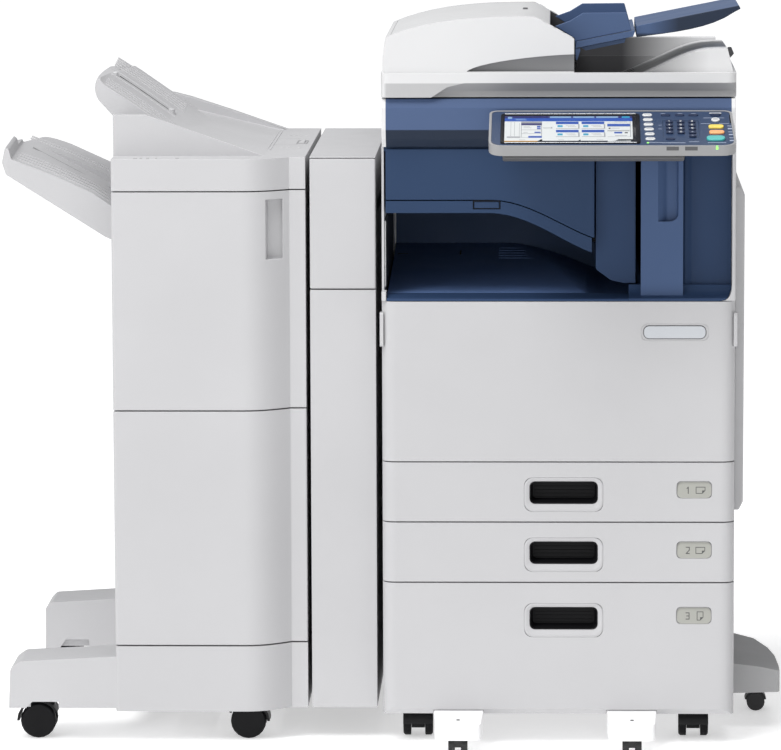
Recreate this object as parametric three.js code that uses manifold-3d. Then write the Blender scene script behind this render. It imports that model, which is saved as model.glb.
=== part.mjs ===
// Floor-standing office photocopier: scanner and document feeder, print engine with two paper cassettes,
// large paper drawer on casters, hole-punch relay unit and a stacking finisher on the left.
// Millimetres, +Z up, the front faces -Y. The machine is drawn with X = 0 on the print engine's centre line,
// Y = 0 on the plane of its drawer fronts and Z = 0 on the floor, then moved so that the origin is the centre
// of the whole machine's footprint.
import * as THREE from 'three';
import { mergeVertices } from 'three/addons/utils/BufferGeometryUtils.js';
import Module from 'manifold-3d';

const wasm = await Module();
wasm.setup();

// ---------------------------------------------------------------- driving dimensions
const GAP = 0.4; // clearance between pieces that touch
const HALF_W = 294; // half width of the print engine
const DEPTH = 600; // front of the drawers to the rear cover
const SKIN = 4; // cover thickness
const FRONT_T = 30; // thickness of drawer fronts and front cover
const FRONT_R = 24; // vertical corner radius of the fronts
const SEAM = 1; // half of the seam between two fronts
const Z_BASE = 50; // underside of the paper drawer unit
const Z_LINE3 = 275.5; // seam between large drawer and lower cassette
const Z_LINE2 = 377.5; // seam between the cassettes
const Z_LINE1 = 479; // seam between upper cassette and front cover
const Z_COVER = 748; // top of the front cover
const Z_SCANNER = 1004; // underside of the scanner
const Z_PLATEN = 1085; // top of the scanner
const Z_RIM = 1128; // top of the document feeder's rim
const FRAME_X = HALF_W - SKIN - 0.5; // half width of the steel frame
const FRAME_Y0 = FRONT_T + 1; // front of the steel frame
const BAY_X = 284; // half width of the bays
const BAY_Y1 = 560; // back of the bays

const PANEL_TILT = THREE.MathUtils.degToRad(15.5);
const PANEL_X = [-113.5, 289.5];
const PANEL_L = 170; // control panel, rear edge to front edge
const PANEL_T = 17;
const PANEL_REAR = [-13, 1067]; // y and z of the panel's rear top edge

const FIN_X = [-744, -422]; // finisher cabinet, left and right
const FIN_Y1 = 650;
const FIN_FRONT = 10; // front plane of the finisher
const FIN_STEP = 50; // its set-back strip, and the punch unit's front plane
const FIN_CURVE = [-525, -449]; // where the front curves back
const FIN_Z = [53, 165, 563, 930.5, 985]; // base, base seam, door seam, top seam, top
const PUNCH_X = [-415, -305];
const PUNCH_SEAM = 763;

// ---------------------------------------------------------------- materials
const plastic = (color, roughness) => new THREE.MeshStandardMaterial({ color, roughness, metalness: 0 });
const material = {
  shell: plastic(0xdcdcde, 0.45),
  light: plastic(0xe8e8ea, 0.4),
  blue: plastic(0x3c4f74, 0.45),
  dark: plastic(0x1a1a1c, 0.5),
  grey: plastic(0x77787c, 0.5),
  steel: new THREE.MeshStandardMaterial({ color: 0xa9adb0, roughness: 0.45, metalness: 0.8 }),
  glass: plastic(0xbfd0d4, 0.05),
  screen: plastic(0x0c0d10, 0.15),
  tyre: plastic(0x141414, 0.7),
  teal: plastic(0x4fb8b4, 0.35),
  orange: plastic(0xe9a36a, 0.35),
  yellow: plastic(0xe6cf5a, 0.35),
};

// ---------------------------------------------------------------- solids
// A manifold solid from a three.js geometry, and back.
function solid(geometry) {
  const bare = new THREE.BufferGeometry();
  bare.setAttribute('position', geometry.getAttribute('position'));
  if (geometry.index) bare.setIndex(geometry.index);
  const merged = mergeVertices(bare, 1e-3);
  return new wasm.Manifold(new wasm.Mesh({
    numProp: 3,
    vertProperties: merged.attributes.position.array,
    triVerts: new Uint32Array(merged.index.array),
  }));
}

function geometryOf(body) {
  const mesh = body.getMesh();
  return new THREE.BufferGeometry()
    .setAttribute('position', new THREE.BufferAttribute(mesh.vertProperties, 3))
    .setIndex(new THREE.BufferAttribute(mesh.triVerts, 1));
}

const join = (...parts) => geometryOf(parts.map(solid).reduce((a, b) => a.add(b)));
const cut = (body, ...tools) => geometryOf(tools.map(solid).reduce((a, b) => a.subtract(b), solid(body)));
const common = (a, b) => geometryOf(solid(a).intersect(solid(b)));

function block(x0, x1, y0, y1, z0, z1) {
  return new THREE.BoxGeometry(x1 - x0, y1 - y0, z1 - z0)
    .translate((x0 + x1) / 2, (y0 + y1) / 2, (z0 + z1) / 2);
}

// A closed outline through [a, b, radius] corners; a radius rounds its corner.
function outline(corners) {
  const shape = new THREE.Shape();
  const n = corners.length;
  const point = (k) => new THREE.Vector2(corners[k][0], corners[k][1]);
  for (let k = 0; k < n; k++) {
    const here = point(k);
    const radius = corners[k][2] || 0;
    const before = point((k + n - 1) % n).sub(here).normalize();
    const after = point((k + 1) % n).sub(here).normalize();
    const reach = radius / Math.tan(Math.acos(THREE.MathUtils.clamp(before.dot(after), -1, 1)) / 2);
    const enter = here.clone().addScaledVector(before, reach);
    const leave = here.clone().addScaledVector(after, reach);
    if (k === 0) shape.moveTo(enter.x, enter.y);
    else shape.lineTo(enter.x, enter.y);
    if (radius) shape.quadraticCurveTo(here.x, here.y, leave.x, leave.y);
  }
  return shape;
}

const rectangle = (a0, a1, b0, b1, r = 0) => outline([[a0, b0, r], [a1, b0, r], [a1, b1, r], [a0, b1, r]]);

const extruded = (shape, depth, segments) =>
  new THREE.ExtrudeGeometry(shape, { depth, bevelEnabled: false, curveSegments: segments });

// Extrusions of an outline in (x, y) along Z, in (y, z) along X, and in (x, z) along Y.
const alongZ = (shape, z0, z1, segments = 5) => extruded(shape, z1 - z0, segments).translate(0, 0, z0);
const alongX = (shape, x0, x1, segments = 5) =>
  extruded(shape, x1 - x0, segments).applyMatrix4(new THREE.Matrix4().set(
    0, 0, 1, x0,
    1, 0, 0, 0,
    0, 1, 0, 0,
    0, 0, 0, 1,
  ));
const alongY = (shape, y0, y1, segments = 5) =>
  extruded(shape, y1 - y0, segments).rotateX(Math.PI / 2).translate(0, y1, 0);

const rod = (radius, length, segments = 20) => new THREE.CylinderGeometry(radius, radius, length, segments);
const rodY = (radius, x, y0, y1, z, segments) =>
  rod(radius, y1 - y0, segments).translate(x, (y0 + y1) / 2, z);
const rodX = (radius, x0, x1, y, z, segments) =>
  rod(radius, x1 - x0, segments).rotateZ(Math.PI / 2).translate((x0 + x1) / 2, y, z);
const rodZ = (radius, x, y, z0, z1, segments) =>
  rod(radius, z1 - z0, segments).rotateX(Math.PI / 2).translate(x, y, (z0 + z1) / 2);

// Leans a geometry along Z, by `slope` for every millimetre behind y0.
const leaned = (geometry, slope, y0) => geometry.applyMatrix4(new THREE.Matrix4().set(
  1, 0, 0, 0,
  0, 1, 0, 0,
  0, slope, 1, -slope * y0,
  0, 0, 0, 1,
));

const machine = new THREE.Group();
function add(name, geometry, finish, parent = machine) {
  const mesh = new THREE.Mesh(geometry, finish);
  mesh.name = name;
  parent.add(mesh);
  return mesh;
}

// ---------------------------------------------------------------- print engine
// Front slab with rounded vertical corners, in the machine's full width.
const frontPlan = (y1 = FRONT_T) =>
  outline([[-HALF_W, 0, FRONT_R], [HALF_W, 0, FRONT_R], [HALF_W, y1], [-HALF_W, y1]]);

const RECESS_Z = [736, 997]; // output recess above the engine
const TRAY_SIDE_X = 130; // right end of the output recess

function mainFrame() {
  const shelf = 5;
  return cut(
    block(-FRAME_X, FRAME_X, FRAME_Y0, DEPTH - SKIN - 1, Z_LINE3 + SEAM, Z_SCANNER - GAP),
    block(-BAY_X, BAY_X, 0, BAY_Y1, Z_LINE3 + shelf, Z_LINE2 - shelf / 2),
    block(-BAY_X, BAY_X, 0, BAY_Y1, Z_LINE2 + shelf / 2, Z_LINE1 - shelf),
    block(-BAY_X, BAY_X, 0, BAY_Y1, Z_LINE1 + shelf, RECESS_Z[0] - shelf),
    block(-BAY_X, BAY_X, BAY_Y1 + 4, DEPTH, Z_LINE3 + 10, Z_SCANNER - 12),
    block(-HALF_W, BAY_X, 0, BAY_Y1, ...RECESS_Z),
    block(-HALF_W, HALF_W, 0, 61, Z_COVER + SEAM - GAP, RECESS_Z[1]),
    block(TRAY_SIDE_X, HALF_W, 0, 61, RECESS_Z[0], Z_SCANNER + 1),
    block(BAY_X - 1, HALF_W, 110, 500, 500, 735),
  );
}

function leftCover() {
  const upstand = outline([[-HALF_W, FRAME_Y0 + 1], [-HALF_W, 2, 6], [-286, 2, 2], [-286, FRAME_Y0 + 1]]);
  return cut(
    join(
      block(-HALF_W, -HALF_W + SKIN, FRAME_Y0, DEPTH - SKIN - 1, Z_LINE3 + SEAM, Z_SCANNER - GAP),
      alongZ(upstand, Z_COVER + SEAM, 764),
    ),
    block(-HALF_W - 1, 0, FRAME_Y0 + 9, 540, 770, 876),
  );
}

function rightCover() {
  const post = outline([[HALF_W - 6, 2], [HALF_W, 2, 3], [HALF_W, FRAME_Y0 + 1], [HALF_W - 6, FRAME_Y0 + 1]]);
  const corner = new THREE.Shape();
  corner.moveTo(HALF_W - 5, Z_COVER + SEAM);
  corner.lineTo(HALF_W - 24, Z_COVER + SEAM);
  corner.quadraticCurveTo(HALF_W - 6, Z_COVER + SEAM + 1, HALF_W - 6, Z_COVER + SEAM + 26);
  corner.lineTo(HALF_W - 5, Z_COVER + SEAM + 26);
  return cut(
    join(
      block(HALF_W - SKIN, HALF_W, FRAME_Y0, DEPTH - SKIN - 1, Z_LINE3 + SEAM, Z_SCANNER - GAP),
      alongZ(post, Z_COVER + SEAM, Z_SCANNER - GAP),
      alongY(corner, 2, 29.6),
    ),
    block(0, HALF_W + 1, 110, 500, 500, 735),
  );
}

function rearCover() {
  const slots = Array.from({ length: 8 }, (_, k) =>
    block(-220, -60, DEPTH - SKIN - 5, DEPTH + 5, 820 + 16 * k, 826 + 16 * k));
  const inlet = block(180, 230, DEPTH - SKIN - 5, DEPTH + 5, 320, 350);
  const plate = block(-HALF_W, HALF_W, DEPTH - SKIN, DEPTH, Z_LINE3 + SEAM, Z_SCANNER - GAP);
  return cut(plate, ...slots, inlet);
}

function frontCover() {
  const z0 = Z_LINE1 + SEAM;
  const grip = (side) => alongX(rectangle(3, 24, 672, 729, 4), side > 0 ? HALF_W - 3 : -HALF_W - 3,
    side > 0 ? HALF_W + 3 : -HALF_W + 3);
  const badge = alongY(rectangle(137.5, 249.5, 682.5, 711.2, 12), -1, 1.2);
  return cut(
    join(alongZ(frontPlan(), z0, Z_COVER), grip(1), grip(-1)),
    block(-HALF_W + 8, HALF_W - 8, 5, FRONT_T + 1, z0 + 5, Z_COVER - 5),
    badge,
  );
}

// Blue liner of the output recess: front ledge, back wall, exit column and the right-hand pillar and panel.
const COLUMN_X = [62.5, 128];
const PILLAR_X = [137, 207];
const LEDGE_SPLIT = 117; // seam between the low ledge and the foot of the pillar

// The ledge in (y, z): low in front of the tray, swept up to the pillar's panel on the right.
function recessLedge() {
  const z = Z_COVER + SEAM;
  const low = outline([[0, z], [60, z], [60, z + 7], [0, z + 4, 3]]);
  const swept = new THREE.Shape();
  swept.moveTo(0, z);
  swept.lineTo(0, z + 3);
  swept.quadraticCurveTo(0, z + 5, 3, z + 5.5);
  swept.quadraticCurveTo(27, z + 8, 32, z + 24);
  swept.lineTo(60, z + 24);
  swept.lineTo(60, z);
  const corner = new THREE.Shape();
  corner.moveTo(HALF_W, z - 5);
  corner.lineTo(HALF_W - 25.5, z - 5);
  corner.lineTo(HALF_W - 25.5, z + 0.3);
  corner.quadraticCurveTo(HALF_W - 6.5, z + 1.2, HALF_W - 6.5, z + 27);
  corner.lineTo(HALF_W, z + 27);
  return cut(
    common(
      alongZ(frontPlan(60), z, z + 40),
      join(alongX(low, -285.6, LEDGE_SPLIT + 1), alongX(swept, LEDGE_SPLIT, 287.4)),
    ),
    alongY(corner, -1, 30.2),
  );
}

function recessLiner() {
  const top = Z_SCANNER - GAP;
  const column = alongY(outline([[COLUMN_X[0], 798, 6], [COLUMN_X[0] + 25, 779.5, 20],
    [COLUMN_X[0] + 46, 775], [COLUMN_X[1], 775], [COLUMN_X[1], RECESS_Z[1] - 1],
    [COLUMN_X[0], RECESS_Z[1] - 1]]), 40, 554);
  const lip = join(block(COLUMN_X[0], PILLAR_X[0] + 1, 24, 41, 988, RECESS_Z[1] - 1),
    block(COLUMN_X[0], PILLAR_X[0] + 1, 24, 30.5, 990, 1001));
  const back = block(-286, 268, 552, BAY_Y1 - 1, RECESS_Z[0] + 1, RECESS_Z[1] - 1);
  const innerWall = block(PILLAR_X[0], PILLAR_X[0] + 5, 55, 554, RECESS_Z[0] + 1, RECESS_Z[1] - 1);
  const pillar = alongZ(rectangle(...PILLAR_X, 15, 59), 754, top);
  const panel = alongZ(outline([[PILLAR_X[1] - 1, 30, 8], [PILLAR_X[1] + 14, 42, 8], [287.4, 42], [287.4, 59],
    [PILLAR_X[1] - 1, 59]]), 765, top);
  const groove = common(
    alongZ(outline([[164, 14], [199.4, 14], [197, 27, 4], [180, 29, 6]]), 880, top + 1),
    alongY(outline([[160, 880], [200, 880, 18], [200, top + 1], [160, top + 1]]), 13, 31),
  );
  return cut(join(recessLedge(), back, innerWall, column, lip, pillar, panel), groove);
}

function innerTray() {
  const base = RECESS_Z[0] + 0.6;
  const side = outline([[61, base], [550, base], [550, 790], [61, 755]]);
  const face = new THREE.Shape();
  face.moveTo(-286, 700);
  face.lineTo(136, 700);
  face.lineTo(136, 738);
  face.lineTo(85, 741);
  face.bezierCurveTo(45, 748, -20, 790, -105, 791);
  face.lineTo(-286, 791);
  return common(alongX(side, -286, 136), alongY(face, 60, 551, 12));
}

// Lower edge of the relay unit, which its flap follows, from left to right in (x, z), `drop` lower.
const RELAY_Z = [915.5, 852];
const FLAP_T = 21.5;

function relayCurve(shape, drop) {
  shape.lineTo(-287, RELAY_Z[0] - drop);
  shape.lineTo(-110, RELAY_Z[0] - drop);
  shape.bezierCurveTo(-50, RELAY_Z[0] - drop, 15, RELAY_Z[1] + 14 - drop, 60, RELAY_Z[1] - drop);
}

function relayUnit() {
  const shape = new THREE.Shape();
  shape.moveTo(-287, RECESS_Z[1] - 1);
  relayCurve(shape, 0);
  shape.lineTo(60, RECESS_Z[1] - 1);
  return cut(
    join(alongY(shape, 20, 548, 12), block(-287, 60, 20, 27, RECESS_Z[1] - 4, 1001)),
    block(-280, 54, 27, 549, RELAY_Z[0] + 5, RECESS_Z[1] - 6),
  );
}

function relayFlap() {
  const shape = new THREE.Shape();
  shape.moveTo(-287, RELAY_Z[0] - 10);
  relayCurve(shape, 1.5);
  shape.lineTo(56, 828);
  shape.bezierCurveTo(10, 843, -50, RELAY_Z[0] - FLAP_T, -115, RELAY_Z[0] - FLAP_T);
  shape.lineTo(-287, RELAY_Z[0] - FLAP_T);
  const hollow = new THREE.Shape();
  hollow.moveTo(-284, RELAY_Z[0] - 8);
  hollow.lineTo(-284, RELAY_Z[0] - 4.5);
  hollow.lineTo(-112, RELAY_Z[0] - 4.5);
  hollow.bezierCurveTo(-52, RELAY_Z[0] - 4.5, 12, RELAY_Z[1] + 11, 52, RELAY_Z[1]);
  hollow.lineTo(52, 832);
  hollow.bezierCurveTo(8, 848, -50, RELAY_Z[0] - FLAP_T + 3, -115, RELAY_Z[0] - FLAP_T + 3);
  hollow.lineTo(-284, RELAY_Z[0] - FLAP_T + 3);
  return cut(
    alongY(shape, 20, 500, 12),
    block(-142, -96, 19, 22.5, 900, RELAY_Z[0] + 1),
    block(55.5, 70, 19, 501, 800, 880),
    alongY(hollow, 24, 501, 12),
  );
}

// ---------------------------------------------------------------- toner, fuser and the right-hand door
function tonerRack() {
  const cartridges = [0, 1, 2, 3].map((k) => rodY(35, -215 + 88 * k, 45, 500, 688, 16));
  return join(block(-262, 100, 60, 72, 640, 727), ...cartridges);
}

function fuserUnit() {
  return join(
    cut(block(196, 264, 118, 492, 560, 726), block(250, 265, 130, 480, 590, 700)),
    rodY(18, 258, 125, 485, 645, 20),
  );
}

const DOOR_X = [HALF_W + 1, 311];

function duplexDoor() {
  const shape = outline([[DOOR_X[0], 388], [DOOR_X[1] - 8, 388, 4], [DOOR_X[1] - 1, 402, 6],
    [DOOR_X[1], 920, 6], [DOOR_X[1] - 8, 932, 4], [DOOR_X[0], 932]]);
  return cut(alongY(shape, 70, 540), block(302.5, 320, 119, 431, 428.5, 722));
}

function bypassTray() {
  return cut(
    alongX(rectangle(120, 430, 430, 720, 8), 304, 310.5),
    alongX(rectangle(240, 310, 690, 712, 6), 308, 312),
  );
}

// ---------------------------------------------------------------- cassettes and large drawer
const HANDLE_X = [-48, 66];
const HANDLE_H = 38;
const LABEL_X = [197, 256];
const FOOT_X = [[-208, -126.4], [82.1, 163.7]];

function drawer(z0, z1, handleTop, trayZ0, trayZ1, chamfer = 0.5) {
  const edge = outline([[-1, z0 - 1], [chamfer, z0 - 1], [chamfer, z0], [0, z0 + chamfer],
    [-1, z0 + chamfer]]);
  const front = cut(alongZ(frontPlan(), z0, z1), alongX(edge, -300, 300));
  const pocket = alongY(rectangle(...HANDLE_X, handleTop - HANDLE_H, handleTop, 9), -1, 25);
  const dish = alongY(rectangle(HANDLE_X[0] - 9, HANDLE_X[1] + 9, handleTop - HANDLE_H - 13,
    handleTop + 7, 16), -1, 3.2);
  const label = alongY(rectangle(LABEL_X[0], LABEL_X[1], handleTop - 28, handleTop + 1, 9), -1, 4);
  const tray = block(-262, 262, FRONT_T - 1, 530, trayZ0, trayZ1);
  const well = block(-256, 256, FRONT_T + 6, 523, trayZ0 + 5, trayZ1 + 1);
  return cut(join(front, tray), well, pocket, dish, label);
}

// ---------------------------------------------------------------- drawer unit, casters and feet
const CASTERS = {
  left_front: [-237, 100], right_front: [228, 100], left_rear: [-237, 520], right_rear: [228, 520],
};
const TRAIL = 16; // stem to wheel axle
const FLOOR_WHEEL = 23;

function pedestalFrame() {
  const stems = Object.values(CASTERS).map(([x, y]) => rodZ(6.5, x, y, Z_BASE - 1, Z_BASE + 9, 16));
  return cut(
    block(-HALF_W, HALF_W, FRAME_Y0, DEPTH, Z_BASE, Z_LINE3 - SEAM),
    block(-BAY_X, BAY_X, 0, BAY_Y1, Z_BASE + 12, Z_LINE3 - SEAM - 6),
    ...stems,
  );
}

// Twin wheel turned on the X axis at the origin: two discs on one axle.
function twinWheel(radius, inner, outer, axle) {
  const half = [[0, 0], [axle, 0], [axle, inner], [radius, inner], [radius, outer - 3], [radius - 3, outer],
    [0, outer]];
  const profile = [...half.slice(1).reverse().map(([r, h]) => [r, -h]), ...half.slice(1)];
  return new THREE.LatheGeometry(profile.map(([r, h]) => new THREE.Vector2(r, h)), 20).rotateZ(Math.PI / 2);
}

// Caster body, wheel axis on X at the origin and its stem TRAIL away in +Y.
function casterBody(radius, inner, outer, axle, top) {
  const web = alongX(outline([[-radius * 0.62, 4, 3], [-radius * 0.5, radius * 0.9, 6], [TRAIL + 11, top - 6],
    [TRAIL + 11, top - 12, 3], [radius * 0.45, -radius * 0.45, 5], [-radius * 0.3, -radius * 0.45, 5]]),
  -inner + 1, inner - 1);
  const arc = (r, a0, a1) => Array.from({ length: 9 }, (_, k) => {
    const a = THREE.MathUtils.degToRad(a0 + ((a1 - a0) * k) / 8);
    return new THREE.Vector2(r * Math.cos(a), r * Math.sin(a));
  });
  const arch = new THREE.Shape([...arc(radius + 2, 25, 180), ...arc(radius * 1.2, 180, 25)]);
  const hood = alongX(arch, -outer, outer);
  const plate = rodZ(10, 0, TRAIL, top - 8, top, 16);
  const stem = rodZ(6, 0, TRAIL, top - 2, top + 6, 16);
  const trimmed = common(join(web, hood, plate), block(-100, 100, -100, 100, -100, top));
  return cut(join(trimmed, stem), rodX(axle + 0.4, -40, 40, 0, 0, 16));
}

function addCaster(name, [x, y], radius, inner, outer, top, along) {
  const turn = new THREE.Group();
  turn.position.set(x, y, radius);
  turn.rotation.z = along;
  const centre = new THREE.Group();
  centre.position.set(0, -TRAIL, 0);
  turn.add(centre);
  machine.add(turn);
  add(`${name}_caster_body`, casterBody(radius, inner, outer, 4, top - radius), material.dark, centre);
  add(`${name}_caster_wheel`, twinWheel(radius, inner, outer, 4), material.tyre, centre);
}

function frontFoot(x0, x1) {
  const plan = outline([[x0, 38], [x0, -10], [x0 + 3, -76, 12], [x1 - 3, -76, 12], [x1, -10], [x1, 38]]);
  const side = outline([[-90, 21], [40, 21], [40, Z_BASE - GAP], [29, Z_BASE - GAP], [29, 57.4],
    [0, 57.4], [-78, 47]]);
  const middle = (x0 + x1) / 2;
  return join(
    common(alongZ(plan, 20, 60), alongX(side, x0 - 10, x1 + 10)),
    block(middle - 6, middle + 6, -68, -48, 8, 24),
    rodX(11, middle - 16, middle - 5, -58, 11, 20),
    rodX(11, middle + 5, middle + 16, -58, 11, 20),
  );
}

function sideFoot() {
  const x0 = HALF_W + GAP;
  const profile = outline([[x0, 59.7], [378, 62, 3], [378, 98.5, 4], [340, 106, 60], [x0, 111.3]]);
  const plan = outline([[x0, 150], [377, 150, 8], [377, 202], [373.6, 292], [364.5, 357.5],
    [343, 424], [311, 451], [x0, 453]]);
  return join(
    common(alongY(profile, 140, 460), alongZ(plan, 40, 120)),
    block(336, 348, 310, 332, 16, 62),
    rodY(15.6, 342, 302, 314, 15.6, 20),
    rodY(15.6, 342, 328, 340, 15.6, 20),
    common(rodY(19, 342, 306, 336, 16, 20), block(320, 365, 300, 345, 19, 40)),
  );
}

// ---------------------------------------------------------------- scanner
function scannerBody() {
  const profile = outline([[20, Z_SCANNER], [556, Z_SCANNER], [556, Z_PLATEN], [8, Z_PLATEN, 3],
    [1, 1070, 6], [1, 1034, 6], [8, 1018, 10]]);
  return cut(
    alongX(profile, -293, 293),
    block(-282, 282, 34, 540, Z_SCANNER + 6, Z_PLATEN - 8),
    block(-229, 214, 62, 370, Z_PLATEN - 10, Z_PLATEN + 1),
    block(-236.5, 221.5, 54.5, 377.5, Z_PLATEN - 5, Z_PLATEN + 1),
  );
}

function scanCarriage() {
  return cut(
    block(-262, -222, 70, 505, 1030, 1066),
    alongY(outline([[-256, 1067], [-228, 1067], [-238, 1050], [-246, 1050]]), 80, 495),
  );
}

// ---------------------------------------------------------------- document feeder
const FEEDER_Y = [5, 445];
const FEEDER_END = 26;

// Outline of the feeder's hump in (x, z), `inset` inside its outer surface.
function hump(inset, floor) {
  const shape = new THREE.Shape();
  shape.moveTo(-292 + inset, floor);
  shape.lineTo(FEEDER_END - inset, floor);
  shape.lineTo(FEEDER_END - inset, 1183.5 - inset * 0.6);
  shape.lineTo(-41 - inset * 0.4, 1221 - inset);
  shape.bezierCurveTo(-130, 1222 - inset, -215 + inset, 1217 - inset, -286 + inset, 1187 - inset);
  shape.quadraticCurveTo(-292 + inset, 1160, -292 + inset, floor);
  return shape;
}

function adfBase() {
  const z0 = Z_PLATEN + 2.5;
  const rim = alongZ(outline([[-HALF_W, 0, 16], [HALF_W, 0, 16], [HALF_W, 545, 10],
    [-HALF_W, 545, 10]]), z0, Z_RIM);
  const feeder = cut(
    alongY(hump(0, Z_RIM - 4), ...FEEDER_Y, 10),
    alongY(hump(8, Z_RIM + 8), FEEDER_Y[0] + 14, FEEDER_Y[1] - 14, 10),
    block(-278, FEEDER_END + 1, FEEDER_Y[0] + 14, FEEDER_Y[1] - 14, Z_RIM + 34, 1240),
  );
  const stop = alongY(outline([[120, 1115], [292.5, 1115], [277.3, 1175], [120, 1175]]), 18, 428);
  const rear = alongX(outline([[428, Z_RIM - 4], [544, Z_RIM - 4], [540, 1150, 10], [436, 1161.5, 4]]),
    FEEDER_END - 30, 272);
  const hinges = [-215, 190].map((x) => block(x, x + 46, 500, 545.5, z0, 1147));
  return cut(join(rim, feeder, stop, rear, ...hinges), lidGrip(z0), feederValley(), feederSwoosh());
}

// Shallow finger scoop along the lid's front edge, deepest half-way up.
function lidGrip(z0) {
  const face = outline([[-212, z0 - 1], [-184, z0 + 17, 12], [-155, 1111.5, 20], [HALF_W + 1, 1111.5],
    [HALF_W + 1, z0 - 1]]);
  const depth = outline([[-1, z0 - 2], [11, z0 - 2], [13, z0 + 10, 4], [0.5, 1112], [-1, 1112]]);
  return common(alongY(face, -1, 14), alongX(depth, -HALF_W - 1, HALF_W + 2));
}

// Everything above the output valley, which climbs to the document stop and falls towards the rear.
function feederValley() {
  const shape = new THREE.Shape();
  shape.moveTo(FEEDER_END + 1, 1250);
  shape.lineTo(FEEDER_END + 1, Z_RIM - 18);
  shape.lineTo(90, Z_RIM - 18);
  shape.bezierCurveTo(115, Z_RIM - 18, 130, 1120, 148.5, 1128.7);
  shape.bezierCurveTo(185, 1143, 215, 1166.9, 262, 1167);
  shape.lineTo(283, 1167);
  shape.lineTo(283, 1250);
  return leaned(alongY(shape, 14, 428, 8), -0.0284, 18);
}

// Curved recess in the feeder's front wall, running out to the right.
function feederSwoosh() {
  const shape = new THREE.Shape();
  shape.moveTo(-151, 1130);
  shape.lineTo(FEEDER_END + 1, 1130);
  shape.lineTo(FEEDER_END + 1, 1158.5);
  shape.bezierCurveTo(-30, 1157, -130, 1146, -151, 1131);
  return alongY(shape, 0, 17, 10);
}

function adfCover() {
  const y = [FEEDER_Y[0] + 14 + GAP, FEEDER_Y[1] - 14 - GAP];
  return cut(
    alongY(hump(0, Z_RIM), ...y, 10),
    alongY(hump(7, Z_RIM - 4), y[0] + 4, y[1] - 4, 10),
    block(-300, 40, 0, 500, 1100, Z_RIM + 34.4),
    block(-300, -278 + GAP, 0, 500, 1100, 1240),
    block(-14, 40, 0, 500, 1100, 1240),
  );
}

// Document tray, its extension and the two sliding guides, drawn in their closed position.
const TRAY_SLOPE = (x) => 1165.2 + (x - 29) * 0.2; // underside of the document tray

function documentTray() {
  const shape = outline([[28.5, TRAY_SLOPE(28.5)], [124, TRAY_SLOPE(124)], [128, TRAY_SLOPE(128) + 10, 2],
    [30, TRAY_SLOPE(30) + 10.5]]);
  return cut(alongY(shape, 58, 372), block(60, 100, 90, 340, TRAY_SLOPE(100) + 7, 1240));
}

function documentGuide(y0, y1) {
  const foot = (x) => TRAY_SLOPE(x) + 11;
  return alongY(outline([[27.5, foot(27.5)], [121, foot(121)], [113, 1224, 3], [40.8, 1223.4, 3],
    [19.9, 1210.6], [-5.5, 1201.5], [27, 1181]]), y0, y1);
}

function trayExtension() {
  const top = (x) => 1201.7 + (x - 134.2) * 0.197;
  const shape = new THREE.Shape();
  shape.moveTo(129.5, top(129.5));
  shape.lineTo(129.5, 1182);
  shape.bezierCurveTo(190, 1190, 252, 1195, 292, 1223.4);
  shape.lineTo(302.6, 1229);
  shape.lineTo(300, top(300));
  return cut(alongY(shape, 75, 330, 8), block(150, 280, 88, 317, 1150, 1198));
}

// ---------------------------------------------------------------- control panel
function addControlPanel() {
  const panel = new THREE.Group();
  panel.position.set(0, ...PANEL_REAR);
  panel.rotation.x = PANEL_TILT;
  machine.add(panel);
  const plan = (inset, r) => outline([
    [PANEL_X[0] + inset, -PANEL_L + inset, r + 10], [PANEL_X[1] - inset, -PANEL_L + inset, r + 10],
    [PANEL_X[1] - inset - 4, -inset, r], [PANEL_X[0] + inset, -inset, r]]);
  const holes = {
    screen: [-94.5, 133.5, -158, -17, 6],
    start: [240, 271.5, -145.3, -124.3, 10.4],
    stop: [245, 271, -114, -98.5, 7],
    clear: [244.5, 270.5, -87.5, -72, 7],
    pad: [170.5, 229.5, -130, -48, 3],
  };
  const shrunk = ([x0, x1, y0, y1, r], by) => rectangle(x0 + by, x1 - by, y0 + by, y1 - by, r - by);
  const opening = (key, z0) => alongZ(shrunk(holes[key], 0), z0, 5);
  const pocket = alongZ(plan(4, 12), -5, 1);
  add('panel_housing', cut(alongZ(plan(0, 16), -PANEL_T, 0), pocket,
    ...['start', 'stop', 'clear'].map((key) => opening(key, -10))), material.light, panel);
  const openings = Object.keys(holes).map((key) => opening(key, -6));
  add('panel_face', cut(alongZ(plan(4.4, 12), -4.6, -0.6), ...openings), material.blue, panel);
  add('touch_screen', alongZ(shrunk(holes.screen, GAP), -4.6, 0.4), material.screen, panel);
  add('start_key', alongZ(shrunk(holes.start, GAP + 0.1), -5.5, 2.4), material.teal, panel);
  add('stop_key', alongZ(shrunk(holes.stop, GAP + 0.1), -5.5, 2.2), material.orange, panel);
  add('clear_key', alongZ(shrunk(holes.clear, GAP + 0.1), -5.5, 2.2), material.yellow, panel);
  const key = (column, row) => alongZ(rectangle(175.2 + 18.6 * column, 187.2 + 18.6 * column,
    -62 - 16.8 * row, -50 - 16.8 * row, 4), -2, 1.6, 2);
  const keys = [0, 1, 2, 3].flatMap((row) => [0, 1, 2].map((column) => key(column, row)));
  keys.push(key(2, 4));
  add('ten_key_pad', join(alongZ(shrunk(holes.pad, GAP), -4.6, -1), ...keys), material.dark, panel);
}

function panelArm() {
  const side = outline([[0.6, 1052.1], [-138, 1013.7], [-141, 998, 4], [-126, 992.5, 5], [0.6, 1018]]);
  return alongX(side, -91, 205);
}

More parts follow.
